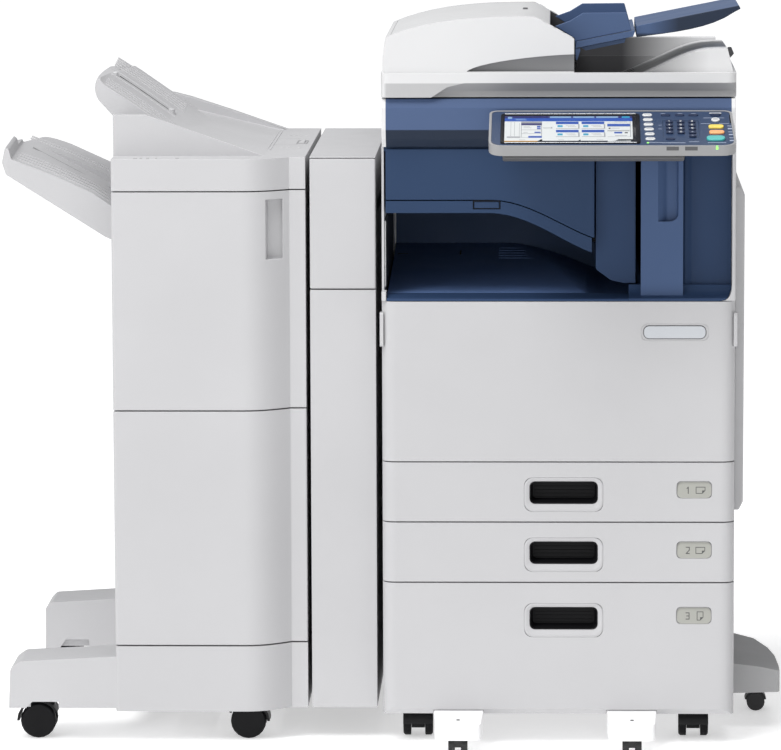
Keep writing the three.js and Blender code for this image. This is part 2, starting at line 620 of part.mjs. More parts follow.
// ---------------------------------------------------------------- hole-punch unit
function punchUnit() {
  const [x0, x1] = PUNCH_X;
  return cut(
    block(x0, x1, FIN_STEP, FIN_Y1, FIN_Z[0], FIN_Z[4]),
    block(x0 - 1, x1 + 1, FIN_STEP - 1, FIN_STEP + 22, PUNCH_SEAM - SEAM, FIN_Z[4] - 1.6),
    block(x0 + 5, x1 - 5, FIN_STEP + 20, FIN_Y1 - 6, PUNCH_SEAM + 12, FIN_Z[4] - 14),
    block(x0 - 1, x1 + 1, 120, 480, 885, 905),
    block(x0 + 5, x1 - 5, FIN_STEP + 5, FIN_Y1 - 6, FIN_Z[0] - 1, PUNCH_SEAM - 8),
  );
}

function punchDoor() {
  return block(PUNCH_X[0], PUNCH_X[1], FIN_STEP, FIN_STEP + 20, PUNCH_SEAM + SEAM, FIN_Z[4] - 2.6);
}

// ---------------------------------------------------------------- finisher
// Plan of the finisher's curved front in (x, y), `inset` inside its outer surface, back to y1.
function finisherPlan(inset, y1) {
  const shape = new THREE.Shape();
  const [x0, x1] = FIN_X;
  shape.moveTo(x0 + inset, y1);
  shape.lineTo(x0 + inset, FIN_FRONT + inset + 6);
  shape.quadraticCurveTo(x0 + inset, FIN_FRONT + inset, x0 + inset + 6, FIN_FRONT + inset);
  shape.lineTo(FIN_CURVE[0], FIN_FRONT + inset);
  shape.bezierCurveTo(FIN_CURVE[0] + 34, FIN_FRONT + inset, FIN_CURVE[1] - 20, FIN_STEP - 16 + inset,
    FIN_CURVE[1], FIN_STEP + inset);
  shape.lineTo(x1 - inset, FIN_STEP + inset);
  shape.lineTo(x1 - inset, y1);
  return shape;
}

const DOOR_BACK = 64;

function finisherFrame() {
  const [x0, x1] = FIN_X;
  return cut(
    join(
      block(x0, x1, DOOR_BACK + 8, FIN_Y1, FIN_Z[1] + SEAM, FIN_Z[3] - SEAM),
      alongZ(finisherPlan(0, DOOR_BACK + 10), FIN_Z[1] + SEAM, FIN_Z[2] - SEAM, 8),
    ),
    block(x0 + 6, x1 - 6, 0, FIN_Y1 - 8, FIN_Z[2] + 6, FIN_Z[3] - 8),
    block(x0 + 6, x1 - 6, DOOR_BACK + 12, FIN_Y1 - 8, FIN_Z[1], FIN_Z[2] - 4),
    block(x0 - 1, x0 + 7, 150, 470, 860, 900),
    block(x1 - 7, x1 + 1, 120, 480, 885, 905),
  );
}

function finisherDoor() {
  const z0 = FIN_Z[2] + SEAM;
  const z1 = FIN_Z[3] - SEAM;
  const pocket = alongZ(outline([[-489, 0], [-460, 0], [-460, 66], [-483, 62, 6]]), 816, 916);
  const cup = alongZ(outline([[-493, 16], [-455, 40], [-455, 60], [-493, 50]]), 810, 922);
  const shell = cut(alongZ(finisherPlan(0, DOOR_BACK - 6), z0, z1, 8),
    alongZ(finisherPlan(5, DOOR_BACK + 30), z0 + 5, z1 - 5, 8));
  const hollow = alongZ(outline([[-489, 0], [-460, 20], [-460, 52], [-486, 44]]), 816, 916);
  const within = alongZ(finisherPlan(0.5, DOOR_BACK - 6), z0, z1, 8);
  return cut(join(shell, common(cup, within)), common(pocket, hollow));
}

function finisherTop() {
  const slab = alongZ(finisherPlan(0, FIN_Y1), FIN_Z[3] + SEAM, FIN_Z[4], 8);
  const foot = FIN_Z[4] - 2;
  const front = alongY(outline([[FIN_X[0], foot], [FIN_X[0], 1054.5, 2], [-690, 1054.5, 12], [-647, 1040],
    [-576, 1015.2], [-484, foot]]), 66, 84);
  const rear = alongY(outline([[FIN_X[0], foot], [FIN_X[0], 1051, 2], [-683, 1051, 12], [-652, 1043],
    [-577, 1018.5], [-475, foot]]), FIN_Y1 - 30, FIN_Y1);
  const ramp = alongY(outline([[FIN_X[0] + 2, foot], [FIN_X[0] + 2, 1038], [-700, 1035], [-487, foot]]),
    83, FIN_Y1 - 29);
  return cut(
    join(slab, front, rear, ramp, proofTray()),
    block(FIN_X[0] + 5, FIN_X[1] - 5, 62, FIN_Y1 - 6, FIN_Z[3], FIN_Z[4] - 6),
  );
}

// Fixed upper tray, which leans up towards the rear.
function proofTray() {
  const side = new THREE.Shape();
  side.moveTo(-560, 950);
  side.quadraticCurveTo(-640, 1014, -689, 1048);
  side.lineTo(-725, 1073);
  side.lineTo(-764, 1098);
  side.lineTo(-772, 1108);
  side.lineTo(-778, 1107);
  side.quadraticCurveTo(-785, 1090, -775, 1073);
  side.lineTo(-754, 1050);
  side.lineTo(-742, 1038);
  side.lineTo(-742, 950);
  const plan = outline([[-540, 150], [-800, 150], [-800, 320], [-778, 450, 30], [-540, 450]]);
  return common(leaned(alongY(side, 140, 460, 6), 0.1, 150), alongZ(plan, FIN_Z[4] - 2, 1110.5));
}

// Stacking tray that climbs on the finisher's left face.
function stackTray() {
  const side = outline([[-746, 834], [-746, 887], [-757, 895], [-788, 916], [-856, 947], [-924, 973, 3],
    [-928, 989, 2], [-934, 995, 3], [-940, 967, 6], [-933, 947, 6], [-767, 842], [-758, 838]]);
  const plan = outline([[-740, 150], [-950, 150, 20], [-935, 300], [-895, 520, 50], [-740, 520]]);
  const dip = outline([[-740, 880], [-740, 1060], [-950, 1060], [-950, 992]]);
  const level = cut(common(alongY(side, 140, 530), alongZ(plan, 700, 1120)), alongY(dip, 290, 380));
  return leaned(level, 0.058, 150);
}

// Base cover with its two legs and the caster wells.
const FIN_CASTERS = {
  fin_left_front: [-863, 68, -1], fin_right_front: [-539, 68, 1],
  fin_left_rear: [-863, 592, -1], fin_right_rear: [-539, 592, 1],
};
const FIN_WHEEL = 30;
const FIN_CASTER_TOP = 66.5;

function finisherBase() {
  const frontLeg = outline([[-925, 58], [-740, 58], [-740, 146.5], [-905, 138, 14], [-922, 126, 12]]);
  const rearLeg = outline([[-914, 58], [-740, 58], [-740, 157], [-787, 155], [-903, 148, 10],
    [-913, 138, 8]]);
  const body = join(
    alongZ(finisherPlan(0, FIN_Y1), FIN_Z[0], FIN_Z[1] - SEAM, 8),
    alongY(frontLeg, FIN_FRONT + 1, 125),
    alongY(rearLeg, 535, FIN_Y1),
  );
  const wells = Object.values(FIN_CASTERS).flatMap(([x, y]) => [
    rodZ(53, x, y, 40, FIN_CASTER_TOP + 1, 24),
    rodZ(6.5, x, y, 60, FIN_CASTER_TOP + 10, 16),
  ]);
  return cut(
    body,
    block(FIN_X[0] + 8, FIN_X[1] - 8, 130, 500, FIN_Z[0] - 1, FIN_Z[1] - 10),
    alongY(outline([[-897, 57], [-841, 57], [-841, 68.7], [-885.6, 68.7]]), 5, 22),
    alongY(outline([[-894, 57], [-833, 57], [-837, 81], [-878, 81]]), 530, 546),
    ...wells,
  );
}

// ---------------------------------------------------------------- assembly
add('main_frame', mainFrame(), material.steel);
add('left_cover', leftCover(), material.shell);
add('right_cover', rightCover(), material.shell);
add('rear_cover', rearCover(), material.shell);
add('front_cover', frontCover(), material.shell);
add('recess_liner', recessLiner(), material.blue);
add('inner_tray', innerTray(), material.blue);
add('relay_unit', relayUnit(), material.blue);
add('relay_flap', relayFlap(), material.blue);
add('toner_rack', tonerRack(), material.dark);
add('fuser_unit', fuserUnit(), material.grey);
add('duplex_door', duplexDoor(), material.shell);
add('bypass_tray', bypassTray(), material.shell);

add('cassette_upper', drawer(Z_LINE2 + SEAM, Z_LINE1 - SEAM, 446, 383, 460), material.shell);
add('cassette_lower', drawer(Z_LINE3 + SEAM, Z_LINE2 - SEAM, 344.5, 283, 360), material.shell);
add('large_drawer', cut(
  drawer(Z_BASE + 1, Z_LINE3 - SEAM, 233.5, 66, 258, 9),
  ...FOOT_X.map(([x0, x1]) => block(x0 - 1, x1 + 1, -1, FRONT_T + 1, Z_BASE, 58.2)),
), material.shell);
add('pedestal_frame', pedestalFrame(), material.shell);
for (const [name, place] of Object.entries(CASTERS)) {
  addCaster(name, place, FLOOR_WHEEL, 12, 25, Z_BASE - GAP, 0);
}
add('front_foot_left', frontFoot(...FOOT_X[0]), material.light);
add('front_foot_right', frontFoot(...FOOT_X[1]), material.light);
add('side_foot_right', sideFoot(), material.grey);

add('scanner_body', scannerBody(), material.blue);
add('platen_glass', block(-236, 221, 55, 377, Z_PLATEN - 4.6, Z_PLATEN - 0.6), material.glass);
add('scan_carriage', scanCarriage(), material.dark);
add('adf_base', adfBase(), material.light);
add('adf_cover', adfCover(), material.light);
add('document_tray', documentTray(), material.blue);
add('tray_extension', trayExtension(), material.blue);
add('document_guide_front', documentGuide(62, 67), material.blue);
add('document_guide_rear', documentGuide(340, 345), material.blue);
addControlPanel();
add('panel_arm', panelArm(), material.grey);

add('punch_unit', punchUnit(), material.shell);
add('punch_door', punchDoor(), material.shell);
add('finisher_base', finisherBase(), material.shell);
add('finisher_frame', finisherFrame(), material.shell);
add('finisher_door', finisherDoor(), material.shell);
add('finisher_top', finisherTop(), material.shell);
add('stack_tray', stackTray(), material.shell);
for (const [name, place] of Object.entries(FIN_CASTERS)) {
  addCaster(name, place, FIN_WHEEL, 12, 24, FIN_CASTER_TOP, (place[2] * Math.PI) / 2);
}

// The origin is the centre of the footprint, on the floor.
machine.updateMatrixWorld(true);
const extent = new THREE.Box3().setFromObject(machine, true);
const copier = new THREE.Group();
machine.position.set(-(extent.min.x + extent.max.x) / 2, -(extent.min.y + extent.max.y) / 2, -extent.min.z);
copier.add(machine);

export default copier;
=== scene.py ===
"""Floor-standing photocopier: surface detail, materials, light and camera around the CAD frame."""
import math

import bmesh
import bpy
from mathutils import Matrix, Vector


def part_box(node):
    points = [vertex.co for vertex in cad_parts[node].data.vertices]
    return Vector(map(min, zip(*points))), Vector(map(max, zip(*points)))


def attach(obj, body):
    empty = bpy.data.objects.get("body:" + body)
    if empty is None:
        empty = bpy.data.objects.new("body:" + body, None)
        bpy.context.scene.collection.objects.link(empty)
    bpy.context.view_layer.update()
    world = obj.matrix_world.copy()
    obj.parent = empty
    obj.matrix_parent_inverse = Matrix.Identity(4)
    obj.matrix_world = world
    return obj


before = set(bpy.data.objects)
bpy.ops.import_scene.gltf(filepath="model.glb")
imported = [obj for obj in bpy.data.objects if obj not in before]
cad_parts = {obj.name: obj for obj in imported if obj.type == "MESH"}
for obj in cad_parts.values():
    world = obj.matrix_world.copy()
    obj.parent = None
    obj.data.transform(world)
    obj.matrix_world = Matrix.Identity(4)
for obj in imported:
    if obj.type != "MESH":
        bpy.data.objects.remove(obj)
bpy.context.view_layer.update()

# ------------------------------------------------------------------ frames
# Local frames are in millimetres. The machine frame has X = 0 on the print engine's centre line,
# Y = 0 on the plane of its drawer fronts and Z = 0 on the floor.
cover_low, cover_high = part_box("front_cover")
MACHINE = Matrix.Translation(((cover_low.x + cover_high.x) / 2, cover_low.y, 0)) @ Matrix.Scale(0.001, 4)
TILT = math.radians(15.5)
PANEL = MACHINE @ Matrix.Translation((0, -13, 1067)) @ Matrix.Rotation(TILT, 4, "X")
FRONT = MACHINE @ Matrix.Rotation(math.radians(90), 4, "X")  # x right, y up, z towards the viewer


def front_at(y):
    """A frame on a plane facing the viewer at depth y: x right, y up, z out of the plane."""
    return MACHINE @ Matrix.Translation((0, y, 0)) @ Matrix.Rotation(math.radians(90), 4, "X")


def right_at(x):
    """A frame on a plane facing +X: x runs back, y up, z out."""
    return MACHINE @ Matrix.Translation((x, 0, 0)) @ Matrix.Rotation(math.radians(90), 4,
        "Z") @ Matrix.Rotation(
        math.radians(90), 4, "X")


def back_at(y):
    """A frame on a plane facing +Y: x as seen from the front, y up, z out of the plane."""
    return MACHINE @ Matrix.Translation((0, y, 0)) @ Matrix(
        ((1, 0, 0, 0), (0, 0, 1, 0), (0, 1, 0, 0), (0, 0, 0, 1)))


# ------------------------------------------------------------------ materials
def node_tree(name):
    mat = bpy.data.materials.new(name)
    mat.use_nodes = True
    tree = mat.node_tree
    shader = tree.nodes["Principled BSDF"]
    return mat, tree, shader


def link(tree, a, b):
    tree.links.new(a, b)


def noise(tree, coords, scale, detail=3.0, rough=0.5):
    n = tree.nodes.new("ShaderNodeTexNoise")
    n.inputs["Scale"].default_value = scale
    n.inputs["Detail"].default_value = detail
    n.inputs["Roughness"].default_value = rough
    link(tree, coords, n.inputs["Vector"])
    return n.outputs["Fac"]


def ramp(tree, fac, low, high, a, b):
    r = tree.nodes.new("ShaderNodeValToRGB")
    r.color_ramp.elements[0].position = low
    r.color_ramp.elements[0].color = (*a, 1)
    r.color_ramp.elements[1].position = high
    r.color_ramp.elements[1].color = (*b, 1)
    link(tree, fac, r.inputs["Fac"])
    return r.outputs["Color"]


def mix(tree, fac, a, b):
    m = tree.nodes.new("ShaderNodeMix")
    m.data_type = "RGBA"
    link(tree, fac, m.inputs["Factor"])
    for socket, value in (("A", a), ("B", b)):
        target = [s for s in m.inputs if s.name == socket and s.type == "RGBA"][0]
        if isinstance(value, tuple):
            target.default_value = (*value, 1)
        else:
            link(tree, value, target)
    return [s for s in m.outputs if s.type == "RGBA"][0]


def shade(color, k):
    return tuple(min(1.0, c * k) for c in color)


GRAIN_DEPTH = 0.0004


def plastic_surface(tree, shader, coords, rough, grain, bump, specular):
    """Cloudy roughness and fine grain, the same on every plastic."""
    gloss = ramp(tree, noise(tree, coords, 14, 3), 0.3, 0.7, (rough * 0.9,) * 3, (rough * 1.12,) * 3)
    link(tree, gloss, shader.inputs["Roughness"])
    shader.inputs["Specular IOR Level"].default_value = specular
    texture = tree.nodes.new("ShaderNodeBump")
    texture.inputs["Strength"].default_value = bump
    texture.inputs["Distance"].default_value = GRAIN_DEPTH
    link(tree, noise(tree, coords, grain, 2), texture.inputs["Height"])
    link(tree, texture.outputs["Normal"], shader.inputs["Normal"])


def moulded(name, color, rough=0.45, grain=900.0, bump=0.05, spread=0.03, wear=0.0, coat=0.0, specular=0.5):
    """Moulded plastic: fine spark-eroded grain, faint cloudy colour and, with wear, scuffs."""
    mat, tree, shader = node_tree(name)
    coords = tree.nodes.new("ShaderNodeTexCoord").outputs["Object"]
    clouds = noise(tree, coords, 3.2, 4)
    base = ramp(tree, clouds, 0.3, 0.7, shade(color, 1 - spread), shade(color, 1 + spread))
    if wear:
        scuffs = noise(tree, coords, 26, 6, 0.7)
        mask = ramp(tree, scuffs, 0.62, 0.8, (0, 0, 0), (wear, wear, wear))
        base = mix(tree, mask, base, shade(color, 0.8))
    link(tree, base, shader.inputs["Base Color"])
    plastic_surface(tree, shader, coords, rough, grain, bump, specular)
    if coat:
        shader.inputs["Coat Weight"].default_value = coat
        shader.inputs["Coat Roughness"].default_value = 0.12
    return mat


def metal(name, color, rough=0.35, streak=(1, 60, 1)):
    """Rolled or plated sheet metal with fine streaks along one direction."""
    mat, tree, shader = node_tree(name)
    coords = tree.nodes.new("ShaderNodeTexCoord").outputs["Object"]
    stretch = tree.nodes.new("ShaderNodeMapping")
    stretch.inputs["Scale"].default_value = streak
    link(tree, coords, stretch.inputs["Vector"])
    lines = noise(tree, stretch.outputs["Vector"], 12, 5, 0.6)
    link(tree, ramp(tree, lines, 0.3, 0.7, shade(color, 0.9), shade(color, 1.08)),
         shader.inputs["Base Color"])
    link(tree, ramp(tree, lines, 0.3, 0.7, (rough * 0.85,) * 3, (rough * 1.2,) * 3),
         shader.inputs["Roughness"])
    shader.inputs["Metallic"].default_value = 0.9
    return mat


def glass(name):
    mat, tree, shader = node_tree(name)
    coords = tree.nodes.new("ShaderNodeTexCoord").outputs["Object"]
    smudge = noise(tree, coords, 7, 4)
    link(tree, ramp(tree, smudge, 0.35, 0.75, (0.02,) * 3, (0.09,) * 3), shader.inputs["Roughness"])
    shader.inputs["Base Color"].default_value = (0.75, 0.86, 0.85, 1)
    shader.inputs["Transmission Weight"].default_value = 0.9
    shader.inputs["IOR"].default_value = 1.5
    return mat


def lit(name, color, strength, spread=0.06):
    """A lit display area: even colour with a faint sheen and slight unevenness."""
    mat, tree, shader = node_tree(name)
    coords = tree.nodes.new("ShaderNodeTexCoord").outputs["Object"]
    base = ramp(tree, noise(tree, coords, 30, 2), 0.3, 0.7, shade(color, 1 - spread), shade(color, 1))
    link(tree, base, shader.inputs["Base Color"])
    link(tree, base, shader.inputs["Emission Color"])
    shader.inputs["Emission Strength"].default_value = strength
    shader.inputs["Roughness"].default_value = 0.3
    return mat


ORIGIN = MACHINE.translation
AXES = {"x": Vector((1, 0, 0)), "y": Vector((0, 1, 0)), "z": Vector((0, 0, 1)),
        "panel": Vector((0, -math.sin(TILT), math.cos(TILT)))}


def zoned(name, color, zones, rough=0.4, grain=900.0, bump=0.05, spread=0.03, specular=0.4):
    """Moulded plastic painted in zones: a colour and its ramps (axis, mm at the start, mm when full)."""
    mat, tree, shader = node_tree(name)
    coords = tree.nodes.new("ShaderNodeTexCoord").outputs["Object"]
    base = ramp(tree, noise(tree, coords, 3.2, 4), 0.3, 0.7, shade(color, 1 - spread),
                shade(color, 1 + spread))
    for tone, ramps in zones:
        mask = None
        for axis, start, full in ramps:
            dot = tree.nodes.new("ShaderNodeVectorMath")
            dot.operation = "DOT_PRODUCT"
            dot.inputs[1].default_value = AXES[axis]
            link(tree, coords, dot.inputs[0])
            rise = tree.nodes.new("ShaderNodeMapRange")
            rise.inputs["From Min"].default_value = start / 1000 + ORIGIN.dot(AXES[axis])
            rise.inputs["From Max"].default_value = full / 1000 + ORIGIN.dot(AXES[axis])
            link(tree, dot.outputs["Value"], rise.inputs["Value"])
            if mask is None:
                mask = rise.outputs["Result"]
                continue
            both = tree.nodes.new("ShaderNodeMath")
            both.operation = "MULTIPLY"
            link(tree, mask, both.inputs[0])
            link(tree, rise.outputs["Result"], both.inputs[1])
            mask = both.outputs["Value"]
        base = mix(tree, mask, base, tone)
    link(tree, base, shader.inputs["Base Color"])
    plastic_surface(tree, shader, coords, rough, grain, bump, specular)
    return mat


SHELL = moulded("shell_grey", (0.475, 0.473, 0.483), 0.46, wear=0.05)
SHELL_FINE = moulded("shell_grey_smooth", (0.5, 0.5, 0.51), 0.38, bump=0.03)
# A darker copy of the shell grey: painted shade on the label recess walls, and the darker grey of grooves,
# slots, lines and small buttons.
SHELL_SHADE = moulded("shell_grey_groove", (0.3, 0.3, 0.305), 0.46)
WHITE = moulded("feeder_white", (0.6, 0.6, 0.605), 0.36, bump=0.03, spread=0.015)
FOOT_WHITE = zoned("foot_white", (0.9, 0.9, 0.905), [((0.012, 0.012, 0.013), [("z", 20.6, 20.2)])], 0.36,
                   spread=0.015)
RIM = moulded("panel_rim", (0.28, 0.28, 0.285), 0.34, bump=0.03)
# NAVY_SHADE is painted shade: near-black navy laid over lower faces of blue parts.
NAVY_SHADE = (0.012, 0.021, 0.042)
BLUE = moulded("slate_blue", (0.056, 0.093, 0.187), 0.42, spread=0.05, bump=0.08, specular=0.2)
SCANNER = zoned("scanner_blue", (0.06, 0.095, 0.188), [
    # painted shade: the scanner's lower band below z 1033; the light grey ends are the side covers' own
    # colour
    (NAVY_SHADE, [("z", 1034.5, 1033)]),
    ((0.66, 0.66, 0.665), [("x", -285.8, -286.2)]), ((0.66, 0.66, 0.665), [("x", 285.8, 286.2)])],
    0.42, bump=0.08, specular=0.2)
# The recess liner's base is a darker copy of the slate blue, painted shade inside the recess; the pillar's
# front face and the back wall are painted lighter again.
RECESS = zoned("recess_blue", (0.027, 0.052, 0.115), [
    ((0.062, 0.102, 0.205), [("x", 136, 136.6), ("x", 207.4, 206.9), ("y", 31, 30), ("z", 755.5, 757)]),
    ((0.05, 0.088, 0.18), [("y", 530, 545)])], 0.46, bump=0.08, specular=0.13)
# painted shade: a darker copy of the slate blue for the relay unit and flap in the recess
RELAY = moulded("relay_blue", (0.023, 0.046, 0.101), 0.46, spread=0.05, bump=0.08, specular=0.13)
# painted light: a lighter copy of the slate blue for the inner tray, which sits in the recess's shade
BLUE_TRAY = moulded("tray_blue", (0.12, 0.195, 0.39), 0.5, spread=0.05, bump=0.08, specular=0.13)
EXTENSION = zoned("extension_blue", (0.056, 0.093, 0.187), [
    # painted shade: NAVY_SHADE over the front strip towards the right end and over everything below z 1186
    (NAVY_SHADE, [("y", 79, 77), ("x", 150, 200)]), (NAVY_SHADE, [("z", 1190, 1186)])],
    0.42, bump=0.08, specular=0.2)
BLUE_FACE = moulded("panel_blue", (0.03, 0.052, 0.108), 0.3, spread=0.04, bump=0.02, specular=0.25)
PANEL_HEIGHT = -13 * AXES["panel"].y + 1067 * AXES["panel"].z
KEY_PAD = zoned("key_pad", (0.014, 0.024, 0.06), [
    ((0.03, 0.052, 0.108), [("panel", PANEL_HEIGHT - 0.3, PANEL_HEIGHT - 0.7)])], 0.34, bump=0.02,
    specular=0.25)
GREY = moulded("mid_grey", (0.08, 0.08, 0.085), 0.5)
FOOT_GREY = zoned("foot_grey", (0.36, 0.36, 0.365), [((0.012, 0.012, 0.013), [("z", 57, 55)])], 0.48)
DARK_GREY = moulded("dark_grey", (0.05, 0.05, 0.054), 0.5, specular=0.3)
BLACK = moulded("black_plastic", (0.006, 0.006, 0.007), 0.45, spread=0.15, specular=0.12)
GLOSS_BLACK = moulded("gloss_black", (0.005, 0.005, 0.007), 0.3, bump=0.0, spread=0.1, specular=0.15)
LABEL = moulded("label_beige", (0.35, 0.35, 0.32), 0.5, spread=0.02)
INK = moulded("label_ink", (0.08, 0.08, 0.08), 0.55)
KEY_LIGHT = moulded("key_light", (0.6, 0.61, 0.62), 0.35, bump=0.02)
KEY_DARK = moulded("key_dark", (0.014, 0.024, 0.06), 0.34, bump=0.02, specular=0.25)
TEAL = moulded("key_teal", (0.06, 0.42, 0.4), 0.3, bump=0.02, coat=0.3)
ORANGE = moulded("key_orange", (0.82, 0.37, 0.14), 0.3, bump=0.02, coat=0.3)
YELLOW = moulded("key_yellow", (0.8, 0.6, 0.09), 0.3, bump=0.02, coat=0.3)
TYRE = moulded("caster_tread", (0.006, 0.006, 0.007), 0.55, spread=0.2, bump=0.1, specular=0.15)
CASTER = moulded("caster_nylon", (0.007, 0.007, 0.008), 0.4, spread=0.15, specular=0.2)
STEEL = metal("plated_sheet", (0.56, 0.57, 0.58), 0.42)
SILVER = metal("badge_silver", (0.6, 0.61, 0.63), 0.28, (30, 1, 30))
BADGE = moulded("badge_satin", (0.5, 0.52, 0.55), 0.34, bump=0.02, spread=0.02)
GLASS = glass("platen_glass")
GREEN = lit("led_green", (0.25, 0.8, 0.12), 1.2)
VALLEY = (0.042, 0.042, 0.045)
FEEDER = zoned("feeder_tones_and_painted_shade", (0.6, 0.6, 0.605), [
    # painted shade: darker grey on the lower front band under the rim
    ((0.4, 0.4, 0.405), [("z", 1112, 1110), ("y", 3, 1)]),
    # painted shade: darker grey in the grip recess
    ((0.3, 0.3, 0.305), [("y", 0.5, 2), ("y", 15, 14), ("z", 1112, 1111), ("x", -214, -210)]),
    # darker grey on the back and floor of the scooped recess above the rim
    ((0.22, 0.222, 0.23), [("y", 6, 8), ("y", 18.5, 18), ("z", 1129, 1129.6), ("z", 1160, 1159),
                           ("x", 27.5, 27),
                           ("x", -153, -152)]),
    # dark grey over the output valley, fading out towards x = 250
    (VALLEY, [("x", 26.4, 26.8), ("x", 250, 110), ("y", 13, 14), ("y", 437, 436), ("z", 1163, 1161)]),
    # dark grey over the feeder's inside between its end walls
    (VALLEY, [("x", -277, -276), ("x", 27, 26.4), ("y", 18.6, 19), ("y", 431.4, 431)])],
    0.36, bump=0.03, spread=0.015, specular=0.4)


# ------------------------------------------------------------------ CAD nodes
def smooth_group():
    """Geometry nodes that shade a whole mesh smooth, so that bevels and curved walls read as one surface."""
    group = bpy.data.node_groups.new("shade_smooth", "GeometryNodeTree")
    group.interface.new_socket("Geometry", in_out="INPUT", socket_type="NodeSocketGeometry")
    group.interface.new_socket("Geometry", in_out="OUTPUT", socket_type="NodeSocketGeometry")
    start = group.nodes.new("NodeGroupInput")
    end = group.nodes.new("NodeGroupOutput")
    smooth = group.nodes.new("GeometryNodeSetShadeSmooth")
    group.links.new(start.outputs[0], smooth.inputs["Geometry"])
    group.links.new(smooth.outputs["Geometry"], end.inputs[0])
    return group


SMOOTH = smooth_group()


def soften(obj, bevel, angle=34, segments=3, merge=True):
    """Merges split vertices, joins flat faces, rounds the edges and evens the normals."""
    if merge:
        weld = obj.modifiers.new("weld", "WELD")
        weld.merge_threshold = 0.00002
        flat = obj.modifiers.new("flat", "DECIMATE")
        flat.decimate_type = "DISSOLVE"
        flat.angle_limit = math.radians(0.6)
    even = obj.modifiers.new("smooth", "NODES")
    even.node_group = SMOOTH
    if bevel:
        edge = obj.modifiers.new("bevel", "BEVEL")
        edge.width = bevel / 1000
        edge.segments = segments
        edge.limit_method = "ANGLE"
        edge.angle_limit = math.radians(angle)
        edge.use_clamp_overlap = True
        edge.harden_normals = True
        edge.miter_outer = "MITER_ARC"
    normals = obj.modifiers.new("normals", "WEIGHTED_NORMAL")
    normals.keep_sharp = True
    normals.weight = 50


def dress(node, mat, bevel=1.2, angle=34, segments=3):
    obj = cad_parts[node]
    obj.data.materials.clear()
    obj.data.materials.append(mat)
    soften(obj, bevel, angle, segments)


NODE_LOOKS = {
    "main_frame": (STEEL, 0.6), "left_cover": (SHELL_FINE, 1.5), "right_cover": (SHELL_FINE, 1.5),
    "rear_cover": (SHELL, 0.8), "front_cover": (SHELL, 2.8), "recess_liner": (RECESS, 2.0),
    "inner_tray": (BLUE_TRAY, 1.5), "relay_unit": (RELAY, 2.0), "relay_flap": (RELAY, 1.5),
    "toner_rack": (BLACK, 1.0),
    "fuser_unit": (DARK_GREY, 1.0), "duplex_door": (SHELL, 2.0), "bypass_tray": (SHELL, 1.2),
    "cassette_upper": (SHELL, 2.4), "cassette_lower": (SHELL, 2.4), "large_drawer": (SHELL, 2.4),
    "pedestal_frame": (SHELL, 1.5), "front_foot_left": (FOOT_WHITE, 3.0),
    "front_foot_right": (FOOT_WHITE, 3.0),
    "side_foot_right": (FOOT_GREY, 3.0), "scanner_body": (SCANNER, 1.2), "platen_glass": (GLASS, 0.3),
    "scan_carriage": (BLACK, 1.0), "adf_base": (FEEDER, 2.2), "adf_cover": (WHITE, 1.0),
    "document_tray": (BLUE, 0.8),
    "tray_extension": (EXTENSION, 1.2), "document_guide_front": (BLUE, 1.2),
    "document_guide_rear": (BLUE, 1.2),
    "panel_housing": (RIM, 3.0), "panel_face": (BLUE_FACE, 0.5), "touch_screen": (GLOSS_BLACK, 0.8),
    "start_key": (TEAL, 1.6), "stop_key": (ORANGE, 1.4), "clear_key": (YELLOW, 1.4),
    "ten_key_pad": (KEY_PAD, 0.7),
    "panel_arm": (GREY, 4.0), "punch_unit": (SHELL, 2.2), "punch_door": (SHELL, 2.4),
    "finisher_base": (SHELL, 3.0),
    "finisher_frame": (SHELL, 2.0), "finisher_door": (SHELL, 2.4), "finisher_top": (SHELL, 3.0),
    "stack_tray": (SHELL, 3.0),
}
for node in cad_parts:
    if node.endswith("_caster_body"):
        dress(node, CASTER, 0.8)
    elif node.endswith("_caster_wheel"):
        dress(node, TYRE, 0.8)
    else:
        dress(node, *NODE_LOOKS[node])

# ------------------------------------------------------------------ mesh helpers
# A solid is a list of loops of 3-D points, joined in order into a skin. Its ends are capped, or with
# "ring" the last loop joins the first.
def rounded(corners, steps=5):
    """Points round a polygon of (x, y, radius) corners, each rounded corner an arc."""
    points = []
    for k, corner in enumerate(corners):
        here = Vector(corner[:2])
        radius = corner[2] if len(corner) > 2 else 0
        if not radius:
            points.append(tuple(here))
            continue
        a = (Vector(corners[k - 1][:2]) - here).normalized()
        b = (Vector(corners[(k + 1) % len(corners)][:2]) - here).normalized()
        half = a.angle(b) / 2
        centre = here + (a + b).normalized() * (radius / math.sin(half))
        start = here + a * (radius / math.tan(half)) - centre
        end = here + b * (radius / math.tan(half)) - centre
        first = math.atan2(start.y, start.x)
        sweep = (math.atan2(end.y, end.x) - first + math.pi) % (2 * math.pi) - math.pi
        for i in range(steps + 1):
            angle = first + sweep * i / steps
            points.append((centre.x + radius * math.cos(angle), centre.y + radius * math.sin(angle)))
    return points


def pill(x0, x1, y0, y1, r, steps=5):
    return rounded([(x0, y0, r), (x1, y0, r), (x1, y1, r), (x0, y1, r)], steps)


def oval(x, y, rx, ry, steps=24):
    turn = [2 * math.pi * i / steps for i in range(steps)]
    return [(x + rx * math.cos(a), y + ry * math.sin(a)) for a in turn]


def at(points, z):
    return [(p[0], p[1], z) for p in points]


def levels(points, *heights):
    """The same outline at several heights."""
    return [at(points, z) for z in heights]


def prism(points, z0, z1):
    return [at(points, z0), at(points, z1)], False


def bar(x0, x1, y0, y1, z0, z1):
    return prism([(x0, y0), (x1, y0), (x1, y1), (x0, y1)], z0, z1)


def band(outer, inner, z0, z1):
    """A frame between two outlines with the same number of points."""
    return [at(outer, z0), at(outer, z1), at(inner, z1), at(inner, z0)], True


